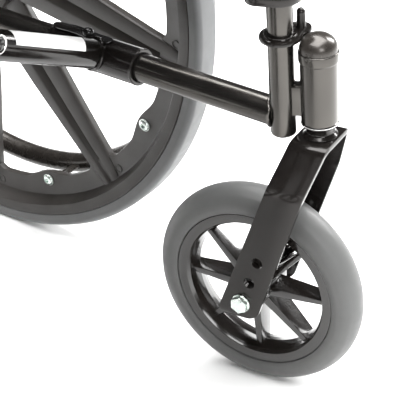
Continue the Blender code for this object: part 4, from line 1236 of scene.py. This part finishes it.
def make_strap():
    """A spring strap on top of the front sleeve, held down by a domed screw."""
    x, width, thick = HALF_WIDTH - 0.0010, 0.0060, 0.0008
    top = RAIL_Z + SLEEVE_R
    rings = []
    for i in range(31):
        share = i / 30
        y = STRAP_START - STRAP_LENGTH * share
        lift = 0.0004 + 0.0014 * math.sin(math.pi * min(1.0, share * 1.4)) ** 2
        narrow = width * math.sqrt(max(0.05, 1 - abs(2 * share - 1) ** 8))
        section = [(-narrow, 0.0004), (-narrow * 0.5, 0.0), (narrow * 0.5, 0.0), (narrow, 0.0004)]
        high = [(u, v + thick) for u, v in reversed(section)]
        crest = top + lift
        rings.append([Vector((x + u, y, crest - 0.0012 * (u / width) ** 2 + v)) for u, v in section + high])
    seat = Matrix.Translation((x, STRAP_SCREW_Y, top + 0.0020))
    screw = [(0, -0.003), (0.0052, -0.003), (0.0052, 0.0012)] + dome(0.0051, 0.0014, 0.0034, 7)
    add_piece("sleeve_spring_strap", merge(loft(rings), turned(screw, seat, 32)), "black_plastic", "brace_a")


# ---------------------------------------------------------------- saddles, plates, arms, grips, brakes
def make_saddles():
    flat = Matrix(((1, 0, 0, 0), (0, 0, -1, 0), (0, 1, 0, 0), (0, 0, 0, 1)))
    trough = POST_R + 0.0006
    for where in ("front", "rear"):
        low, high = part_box("seat_saddle_" + where + "_left")
        outline = [(low.x, low.z + 0.003), (low.x + 0.003, low.z), (high.x, low.z), (high.x, high.z)]
        middle = Vector((SEAT_RAIL_X, SEAT_RAIL_Z))
        outline += [tuple(p) for p in sector(middle, trough, math.radians(-4), math.radians(-172), 12)]
        outline.append((low.x, high.z))
        block = slab(outline, -high.y, -low.y, flat, 0.0012)
        lip_place = Matrix.Translation((low.x + 0.001, (low.y + high.y) / 2, low.z + 0.012))
        lip_place = lip_place @ Matrix.Rotation(math.pi / 2, 4, "Y")
        lip = slab(rectangle(-0.006, -0.010, 0.006, 0.010, 0.002), -0.0018, 0.0, lip_place, 0.0005)
        stands_for = ["seat_saddle_" + where + "_{}"]
        pair("saddle_block_" + where + "_{}", merge(block, lip), "black_plastic", "{}_frame", stands_for)


def make_axle_plate():
    low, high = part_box("axle_plate_left")
    thick = 0.005
    outline = rectangle(low.y, low.z, high.y, high.z, 0.008, 5)
    plate = slab(outline, low.x, low.x + thick, UPRIGHT, 0.0008)
    face = place_along((0, REAR_HUB.y, REAR_HUB.z), (1, 0, 0))
    inner = low.x + 0.003
    tube = rounded([(0, inner, 0), (0.0135, inner, 0), (0.0135, high.x, 0.0012), (0, high.x, 0)], 3)
    whole = boolean(plate, [turned(tube, face, 44)], "UNION")
    bore = cylinder(AXLE_HOLE_R, low.x - 0.01, high.x + 0.01, face, 36)
    whole = boolean(whole, [bore], "DIFFERENCE")
    ring = [face @ Vector((u, v, low.x + thick + 0.0008)) for u, v in circle(0.0140, 40)]
    pair("axle_bracket_{}", merge(whole, bead(ring, 0.0016)), "frame_paint", "{}_frame", ["axle_plate_{}"])
    bolts = []
    for z in (low.z + 0.012, high.z - 0.012):
        for y in (CANE_Y - 0.012, CANE_Y + 0.012):
            if abs(z - REAR_HUB.z) > 0.018:
                seat = place_along((low.x + thick, y, z), (1, 0, 0), (0, 0.4, 1))
                bolts.append(button_head(seat, 0.0050, 0.0030, 0.0034))
    pair("axle_bracket_bolts_{}", merge(*bolts), "zinc", "{}_frame")


def make_arm():
    x = ARM_X
    pivot_y = PIVOT["arm_flip_left"].y
    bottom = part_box("arm_frame_left")[0].z
    corners = [((x, pivot_y, ARM_TOP), 0), ((x, ARM_FRONT, ARM_TOP), 0.045), ((x, ARM_FRONT, bottom), 0)]
    path = bent_path(corners, 14)
    rear_y = CANE_Y - 0.020
    parts = [swept(path, ARM_R, 32, (0.0030, 0.0015))]
    parts.append(swept([(x, ARM_FRONT + 0.004, ARM_STRUT_Z), (x, rear_y, ARM_STRUT_Z)], 0.0062, 24))
    parts.append(swept([(x, rear_y, 0.503), (x, rear_y, ARM_TOP - 0.004)], 0.0065, 24, (0.0030, 0)))
    welds = (
        ((x, ARM_FRONT + ARM_R, ARM_STRUT_Z), (0, 1, 0), 0.0066),
        ((x, rear_y, ARM_TOP - ARM_R), (0, 0, 1), 0.0069),
    )
    for centre, normal, size in welds:
        seat = place_along(centre, normal, (1, 0, 0))
        parts.append(bead([seat @ Vector((u, v, 0)) for u, v in circle(size, 32)], 0.0012))
    pair("arm_tube_{}", merge(*parts), "frame_paint", "arm_{}", ["arm_frame_{}"])
    pin = place_along((x, pivot_y, ARM_TOP), (1, 0, 0), (0, 0.3, 1))
    bolt = merge(
        hex_head(pin @ Matrix.Translation((0, 0, ARM_R - 0.0004)), 0.0100, 0.0044, 0.0070),
        swept([pin @ Vector((0, 0, -ARM_R - 0.006)), pin @ Vector((0, 0, ARM_R))], 0.0030, 20),
    )
    pair("arm_hinge_bolt_{}", bolt, "zinc", "arm_{}")
    make_side_panel()
    make_arm_pad()


def make_side_panel():
    low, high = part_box("side_panel_left")
    edge = 0.0003

    def outline(inset, corner):
        return rounded(
            [
                (low.y + edge + inset, low.z + edge + inset, corner),
                (high.y - edge - inset, low.z + edge + inset, corner),
                (high.y - edge - inset, high.z - edge - inset, corner),
                (low.y + 0.034 + inset, high.z - edge - inset, 0.012),
                (low.y + edge + inset, high.z - 0.034 - inset, 0.012),
            ],
            5,
        )

    panel = slab(outline(0.0, 0.006), low.x + edge, high.x - edge, UPRIGHT, 0.0006)
    rims = []
    for inset, half in ((0.014, 0.0016), (0.024, 0.0010)):
        loop = outline(inset, 0.006)
        rims.append(bead([UPRIGHT @ Vector((a, b, ARM_X)) for a, b in loop], half, 10))
    pair("side_guard_panel_{}", merge(panel, *rims), "panel_plastic", "arm_{}", ["side_panel_{}"])
    screws = []
    near, far = low.y + 0.007, high.y - 0.007
    for y, z in ((near, low.z + 0.020), (near, low.z + 0.100), (far, low.z + 0.020), (far, high.z - 0.020)):
        for way in (-1, 1):
            seat = place_along((ARM_X + way * 0.0013, y, z), (way, 0, 0), (0, 0.2, 1))
            screws.append(button_head(seat, 0.0036, 0.0018, 0.0020))
    pair("side_guard_screws_{}", merge(*screws), "zinc", "arm_{}")


def make_arm_pad():
    """Stuffed pad: crowned on top, drawn in along its lower seam, on a moulded base."""
    low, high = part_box("arm_pad_left")
    middle = (low + high) / 2
    half = (high - low) / 2
    base_top = low.z + 0.0045
    rings = []
    steps = 36
    for i in range(steps + 1):
        share = -1 + 2 * i / steps
        along = half.y * math.sin(share * math.pi / 2)
        end = math.sqrt(max(0.0, 1 - abs(share) ** 7))
        wide = half.x * (0.90 + 0.10 * end) * (0.55 + 0.45 * end)
        tall = (high.z - base_top) * (0.42 + 0.58 * end)
        ring = []
        for angle in angles(32):
            cos, sin = math.cos(angle), math.sin(angle)
            across = math.copysign(abs(cos) ** 0.55, cos) * wide
            up = math.copysign(abs(sin) ** 0.75, sin)
            crown = 0.0012 * math.sin(3.1 * along / half.y + 0.6) * max(0.0, sin)
            height = base_top + tall * 0.5 * (1 + up) + crown * 0.4
            across *= 1 - 0.05 * max(0.0, -sin) ** 2
            ring.append(Vector((middle.x + across, middle.y + along, min(height, high.z))))
        rings.append(ring)
    pads = pair("arm_pad_cover_{}", loft(rings), "pad_vinyl", "arm_{}", ["arm_pad_{}"], 60.0)
    seam = []
    for cos, sin in circle(1.0, 96):
        x = middle.x + math.copysign(abs(cos) ** 0.35, cos) * half.x * 0.965
        y = middle.y + math.copysign(abs(sin) ** 0.22, sin) * half.y * 0.985
        seam.append(Vector((x, y, base_top + 0.0042)))
    pair("arm_pad_piping_{}", bead(seam, 0.0011, 8), "pad_vinyl", "arm_{}")
    flat = rectangle(low.x + 0.004, low.y + 0.006, high.x - 0.004, high.y - 0.006, 0.010, 5)
    base = slab(flat, low.z, base_top + 0.001, Matrix.Identity(4), 0.0010)
    pair("arm_pad_base_{}", base, "panel_plastic", "arm_{}")


def make_grip():
    """Moulded push grip: a flange at each end and rings of finger ridges."""
    low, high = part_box("push_grip_left")
    length = high.y - low.y
    outline = [(0.0112, 0.0), (0.0158, 0.0), (0.0165, 0.0008), (0.0165, 0.0024), (0.0158, 0.0036)]
    count = 19
    for i in range(count):
        for share, rise in ((0.0, 0.0), (0.25, 0.0006), (0.5, 0.0008), (0.75, 0.0006)):
            z = 0.0050 + (length - 0.0210) * (i + share) / count
            belly = 0.0006 * math.sin(math.pi * (i + share) / count)
            outline.append((0.0143 + belly + rise, z))
    outline += [(0.0146, length - 0.0150), (0.0160, length - 0.0100), (0.0162, length - 0.0060)]
    outline += [(0.0150, length - 0.0022), (0.0115, length - 0.0005), (0.0, length)]
    outline += [(0.0, length - 0.0020), (0.0112, length - 0.0020)]
    place = place_along((HALF_WIDTH, low.y, CANE_TOP), (0, 1, 0), (0, 0, 1))
    pair("push_handle_grip_{}", turned(outline, place, 48), "black_plastic", "{}_frame", ["push_grip_{}"])


def make_brake():
    low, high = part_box("brake_bracket_left")
    lever_pin, shoe_pin = PIVOT["brake_lever_left"], PIVOT["brake_shoe_left"]
    thick = 0.0040
    outline = rectangle(low.y, low.z, high.y, high.z, 0.009, 5)
    parts = [slab(outline, low.x, low.x + thick, UPRIGHT, 0.0007)]
    for pin in (lever_pin, shoe_pin):
        seat = place_along((low.x + 0.002, pin.y, pin.z), (1, 0, 0))
        reach = high.x - low.x - 0.002
        boss = rounded([(0, 0, 0), (0.0080, 0, 0), (0.0080, reach, 0.0010), (0, reach, 0)], 3)
        parts.append(turned(boss, seat, 32))
    for y in (low.y + 0.010, high.y - 0.010):
        seat = place_along((low.x + thick, y, high.z - 0.013), (1, 0, 0), (0, 0.4, 1))
        parts.append(hex_head(seat, 0.0080, 0.0042))
    pair("brake_mount_{}", merge(*parts), "black_paint", "{}_frame", ["brake_bracket_{}"])

    arm_low = high.x + 0.0003
    arm_high = HALF_WIDTH + 0.0460
    shoe = SHOE_CENTRE
    end = Vector((shoe.y, shoe.z))
    start = Vector((shoe_pin.y, shoe_pin.z))
    along = (end - start).normalized()
    link = slab(stadium(start, end, 0.0080, 0.0060), arm_low, arm_high, UPRIGHT, 0.0005)
    bar_place = place_along((arm_low + 0.0004, shoe.y, shoe.z), (1, 0, 0), (0, along.x, along.y))
    bar_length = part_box("brake_shoe_left")[1].x - arm_low - 0.0006
    knurl = (0.0, 0.0004)
    bar = [(angle, 0.0090 - knurl[step % 2]) for step, angle in enumerate(angles(60))]
    ends = ((0.0, 0.0008), (0.0008, 0.0), (0.010, 0.0), (bar_length - 0.0008, 0.0), (bar_length, 0.0008))
    rings = []
    for z, shrink in ends:
        sized = [(a, r - shrink) for a, r in bar]
        rings.append([bar_place @ Vector((r * math.cos(a), r * math.sin(a), z)) for a, r in sized])
    pin_place = place_along((arm_high, shoe_pin.y, shoe_pin.z), (1, 0, 0), (0, 0.3, 1))
    shoe_piece = merge(link, loft(rings), hex_head(pin_place, 0.0080, 0.0034))
    pair("brake_shoe_bar_{}", shoe_piece, "bright_steel", "brake_shoe_{}", ["brake_shoe_{}"])

    y, z = lever_pin.y, lever_pin.z
    rod_x = BRAKE_ROD_X
    foot, top = high.x + 0.0003, high.x + 0.0120
    hub_outline = rounded([(0, foot, 0), (0.0085, foot, 0.0006), (0.0085, top, 0.0012), (0, top, 0)], 3)
    hub = turned(hub_outline, place_along((0, y, z), (1, 0, 0)), 36)
    bend = [((rod_x, y, z), 0), ((rod_x, y + 0.0020, z + 0.030), 0.05), ((rod_x, y + 0.0100, z + 0.100), 0)]
    rod = swept(bent_path(bend, 6), 0.0045, 24, (0, 0))
    pair("brake_lever_rod_{}", merge(hub, rod), "black_paint", "brake_lever_{}", ["brake_lever_{}"])
    grip_outline = [(0.0, 0.0), (0.0070, 0.0), (0.0078, 0.0010)]
    for i in range(8):
        base = 0.0040 + 0.0070 * i
        swell = 0.0080 + 0.0008 * math.sin(math.pi * i / 8)
        grip_outline += [(swell, base), (swell + 0.0005, base + 0.0022), (swell, base + 0.0044)]
    grip_outline += dome(0.0088, 0.0618, 0.0082)
    grip_place = place_along((rod_x, y + 0.0065, z + 0.065), (0, 0.0070, 0.070), (1, 0, 0))
    pair("brake_lever_grip_{}", turned(grip_outline, grip_place, 36), "black_plastic", "brake_lever_{}")


def stadium(start, end, start_r, end_r):
    """Outline round two circles of unlike radius, joined by straight sides."""
    along = end - start
    base = math.atan2(along.y, along.x)
    lean = math.acos((start_r - end_r) / along.length)
    outline = sector(start, start_r, base + lean, 2 * math.pi - 2 * lean, 12)
    return outline + sector(end, end_r, base - lean, 2 * lean, 8)


# ---------------------------------------------------------------- slings
def sling_section(half, sag, wrap_degrees, flat, span_steps=48):
    """Points (across, height, pinned) of cloth that wraps two tubes and hangs between them.

    It stays flat for a short way beside each tube.
    """
    points = []
    for step in range(SLEEVE_POINTS):
        angle = math.radians(-wrap_degrees + 90 + wrap_degrees * step / 8)
        points.append((half + WRAP_R * math.cos(angle), WRAP_R * math.sin(angle), True))
    inner = []
    for step in range(1, span_steps):
        x = half * (1 - 2 * step / span_steps)
        free = max(0.0, 1 - abs(x) / (half - flat))
        inner.append((x, WRAP_R - sag * (1 - (1 - free) ** 2), abs(x) > half - flat))
    mirrored = [(-x, z, pinned) for x, z, pinned in reversed(points)]
    return points + inner + mirrored


def run_cloth(rows, pinned, gravity_axis):
    """Let a net of points settle under gravity, and give its new points."""
    mesh = bpy.data.meshes.new("cloth")
    count = len(rows[0])
    faces = []
    for i in range(len(rows) - 1):
        for j in range(count - 1):
            a = i * count + j
            faces.append((a, a + 1, a + count + 1, a + count))
    mesh.from_pydata([p for row in rows for p in row], [], faces)
    obj = bpy.data.objects.new("cloth", mesh)
    scene = bpy.context.scene
    scene.collection.objects.link(obj)
    group = obj.vertex_groups.new(name="held")
    group.add([i for i, held in enumerate(pinned) if held], 1.0, "REPLACE")
    cloth = obj.modifiers.new("Cloth", "CLOTH")
    settings = cloth.settings
    settings.vertex_group_mass = "held"
    settings.quality = 8
    settings.mass = 0.4
    settings.tension_stiffness = 60.0
    settings.compression_stiffness = 25.0
    settings.shear_stiffness = 20.0
    settings.bending_stiffness = 1.5
    settings.air_damping = 3.0
    cloth.point_cache.frame_start = 1
    cloth.point_cache.frame_end = CLOTH_FRAMES
    kept_gravity = scene.gravity.copy()
    scene.gravity = Vector(gravity_axis) * GRAVITY
    for number in range(1, CLOTH_FRAMES + 1):
        scene.frame_set(number)
    graph = bpy.context.evaluated_depsgraph_get()
    settled = obj.evaluated_get(graph).to_mesh()
    points = [v.co.copy() for v in settled.vertices]
    scene.frame_set(1)
    scene.gravity = kept_gravity
    bpy.data.objects.remove(obj, do_unlink=True)
    bpy.data.meshes.remove(mesh)
    return [points[i * count:(i + 1) * count] for i in range(len(rows))]


def normals_of(rows):
    result = []
    for i, row in enumerate(rows):
        line = []
        for j in range(len(row)):
            across = row[min(j + 1, len(row) - 1)] - row[max(j - 1, 0)]
            along = rows[min(i + 1, len(rows) - 1)][j] - rows[max(i - 1, 0)][j]
            line.append(across.cross(along).normalized())
        result.append(line)
    return result


def thick_sheet(rows, normals, thickness, swell):
    """A closed sheet over a net of points. swell(i) is what row i adds to the half thickness."""
    rings = []
    for i, (row, line) in enumerate(zip(rows, normals)):
        half = thickness / 2 + swell(i)
        high = [p + n * half for p, n in zip(row, line)]
        low = [p - n * half for p, n in zip(row, line)]
        rings.append(high + list(reversed(low)))
    return loft(rings)


def stitches(line, normals, offset, length=0.0030, gap=0.0014):
    """A row of thread stitches that lie on the cloth along a line of points."""
    parts = []
    total = [0.0]
    for a, b in zip(line, line[1:]):
        total.append(total[-1] + (b - a).length)

    def at(distance):
        for k in range(len(total) - 1):
            if distance <= total[k + 1]:
                share = (distance - total[k]) / max(total[k + 1] - total[k], 1e-9)
                normal = normals[k].lerp(normals[k + 1], share).normalized()
                return line[k].lerp(line[k + 1], share), normal
        return line[-1], normals[-1]

    start = 0.002
    while start + length < total[-1]:
        points = []
        for share in (0.0, 0.25, 0.75, 1.0):
            p, n = at(start + length * share)
            dip = -0.0003 if share in (0.0, 1.0) else 0.00022
            points.append(p + n * (offset + dip))
        parts.append(swept(points, 0.00036, 6, (0, 0)))
        start += length + gap
    return parts


def make_seat_sling():
    """Seat cloth, wrapped over both seat rails and let hang between them under its own weight."""
    section = sling_section(SEAT_RAIL_X, 0.0100, 88, 0.004)
    rows_count = 34
    rows, pinned = [], []
    for i in range(rows_count + 1):
        y = SEAT_FRONT + 0.002 + (SEAT_BACK - SEAT_FRONT - 0.004) * i / rows_count
        pull = 0.0008 * math.sin(9.0 * i / rows_count) + 0.0006 * math.sin(23.0 * i / rows_count + 1.0)
        row = []
        for x, z, held in section:
            ripple = 0 if held else pull * (1 - (x / SEAT_RAIL_X) ** 2)
            row.append(Vector((x, y, SEAT_RAIL_Z + z + ripple)))
            pinned.append(held)
        rows.append(row)
    rows = run_cloth(rows, pinned, (0, 0, -1))
    add_sling("seat_cloth", rows, "seat_sling", ("brace_a", "brace_b"))


def make_back_sling():
    """Back cloth on the canes, in front of them, bellied backwards."""
    section = sling_section(HALF_WIDTH, 0.0160, 150, 0.033)
    rows_count = 30
    rows, pinned = [], []
    for i in range(rows_count + 1):
        z = BACK_LOW + 0.003 + (BACK_HIGH - BACK_LOW - 0.006) * i / rows_count
        lean = CANE_Y + CANE_LEAN * max(0.0, (z - BEND_START_Z) / (CANE_TOP - BEND_START_Z))
        pull = 0.0010 * math.sin(7.0 * i / rows_count + 0.5) + 0.0007 * math.sin(19.0 * i / rows_count)
        row = []
        for x, y, held in section:
            ripple = 0 if held else pull * (1 - (x / HALF_WIDTH) ** 2)
            row.append(Vector((x, lean - y - ripple, z)))
            pinned.append(held)
        rows.append(row)
    rows = run_cloth(rows, pinned, (0, 0.35, -0.25))
    add_sling("back_cloth", rows, "back_sling", None)


def add_sling(name, rows, node_name, bodies):
    """Thicken, hem, stitch and add a cloth.

    With bodies, it rides on no body and keeps its place in the world. Without, it is the back, cut into a panel
    and two sleeves.
    """
    normals = normals_of(rows)
    outward = Vector((0, 0, 1)) if bodies else Vector((0, -1, 0))
    middle = normals[len(rows) // 2][len(rows[0]) // 2]
    if middle.dot(outward) < 0:
        normals = [[-n for n in line] for line in normals]
    last, across = len(rows) - 1, len(rows[0])

    def hem(i):
        return HEM if min(i, last - i) <= 2 else 0.0

    def swell(i):
        return hem(i) + (0.0004 if i in (0, last) else 0.0)

    if not bodies:
        for tag, first, end in (("left", 0, SLEEVE_POINTS), ("right", across - SLEEVE_POINTS, across)):
            net = [row[first:end] for row in rows]
            net_normals = [line[first:end] for line in normals]
            sleeve = thick_sheet(net, net_normals, CLOTH, swell)
            piece = add_piece(name + "_sleeve_" + tag, sleeve, "sling_vinyl", tag + "_frame", [], 50.0)
        cut = SLEEVE_POINTS - 1
        rows = [row[cut:across - cut] for row in rows]
        normals = [line[cut:across - cut] for line in normals]
        across -= 2 * cut
    parts = [thick_sheet(rows, normals, CLOTH, swell)]
    lift = CLOTH / 2
    for i in (1, 3, last - 3, last - 1):
        parts += stitches(rows[i], normals[i], lift + hem(i))
    first = SLEEVE_POINTS if bodies else 3
    for j in (first, first + 1, across - 2 - first, across - 1 - first):
        line = [row[j] for row in rows]
        parts += stitches(line, [n[j] for n in normals], lift)
    obj = add_piece(name, merge(*parts), "sling_vinyl", None if bodies else "left_frame", [node_name], 50.0)
    if bodies:
        start, end = (-SEAT_RAIL_X, 0, SEAT_RAIL_Z), (SEAT_RAIL_X, 0, SEAT_RAIL_Z)
        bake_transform(obj)
    else:
        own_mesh(obj)


# ---------------------------------------------------------------- floor, light and camera
def make_stage():
    mesh = bpy.data.meshes.new("floor")
    size = 2.6
    corners = [(-size, -size), (size, -size), (size, size), (-size, size)]
    mesh.from_pydata([(x, y, FLOOR_Z) for x, y in corners], [], [(0, 1, 2, 3)])
    look = Look("floor")
    look.mottled((0.86, 0.86, 0.855), (0.88, 0.88, 0.875), 1.5, 0.55, 0.7, 3.0)
    mesh.materials.append(look.material)
    floor = bpy.data.objects.new("floor", mesh)
    bpy.context.scene.collection.objects.link(floor)

    make_world()
    for name, where, aim, size, power in (
        ("overhead", (0.10, 0.10, 3.00), (0.10, 0.10, 0.0), (3.4, 3.4), 470.0),
        ("front", (-1.5, -2.8, 1.9), (0.1, -0.1, 0.3), (1.4, 1.4), 60.0),
        ("side", (2.9, -1.1, 1.9), (0.1, -0.2, 0.2), (0.9, 1.8), 170.0),
    ):
        light = bpy.data.lights.new(name, "AREA")
        light.shape = "RECTANGLE"
        light.size, light.size_y = size
        light.energy = power
        lamp = bpy.data.objects.new(name, light)
        lamp.location = where
        lamp.rotation_euler = (Vector(aim) - Vector(where)).to_track_quat("-Z", "Y").to_euler()
        bpy.context.scene.collection.objects.link(lamp)
    bpy.context.scene.view_settings.view_transform = "Standard"


def make_world():
    """A white sweep below, a dim room above it, and a pale band between that streaks the tubes."""
    world = bpy.data.worlds.new("studio")
    bpy.context.scene.world = world
    world.use_nodes = True
    tree = world.node_tree
    split = node(tree, "ShaderNodeSeparateXYZ")
    tree.links.new(tree.nodes.new("ShaderNodeTexCoord").outputs["Generated"], split.inputs["Vector"])
    fade = ramp(tree, split.outputs["Z"], 0.05, 0.16, 0.0, 1.0)
    shade = blend_colours(tree, fade, (1.15, 1.15, 1.15), (0.07, 0.07, 0.072))
    seen = node(tree, "ShaderNodeMix", {"data_type": "RGBA"})
    seen.inputs["B"].default_value = (1.0, 1.0, 1.0, 1.0)
    tree.links.new(tree.nodes.new("ShaderNodeLightPath").outputs["Is Camera Ray"], seen.inputs["Factor"])
    tree.links.new(shade, seen.inputs["A"])
    tree.links.new(seen.outputs["Result"], tree.nodes["Background"].inputs["Color"])
    tree.nodes["Background"].inputs["Strength"].default_value = 1.0


def make_camera():
    """Long lens, from the right front and above, aimed at the left caster and cross brace."""
    yaw, pitch, roll = 0.87022, 0.557576, -0.064451
    where = Vector((-0.84964, -1.14204, 1.03457))
    flat = math.cos(pitch)
    look = Vector((flat * math.sin(yaw), flat * math.cos(yaw), -math.sin(pitch)))
    level = look.cross(Vector((0, 0, 1))).normalized()
    up = level.cross(look)
    right = level * math.cos(roll) + up * math.sin(roll)
    top = up * math.cos(roll) - level * math.sin(roll)
    data = bpy.data.cameras.new("camera")
    data.sensor_width = 36.0
    data.lens = 164.4
    data.clip_end = 50.0
    camera = bpy.data.objects.new("camera", data)
    camera.matrix_world = Matrix((right, top, -look)).transposed().to_4x4()
    camera.location = where
    bpy.context.scene.collection.objects.link(camera)
    bpy.context.scene.camera = camera


def dress_frame():
    """Give every CAD node that stays in view the material of its slot."""
    slots = {row["node"]: row["material_slot"] for row in frame["record"]["subparts"]}
    for name, obj in frame["nodes"].items():
        look = slots[name]
        if look == "tyre":
            look = name
        obj.data.materials.clear()
        obj.data.materials.append(LOOKS[look])


def main():
    dress_frame()
    make_side_frame()
    make_front_fittings()
    make_caster()
    make_rear_wheel()
    make_brace()
    make_saddles()
    make_axle_plate()
    make_arm()
    make_grip()
    make_brake()
    make_seat_sling()
    make_back_sling()
    make_stage()
    make_camera()


main()
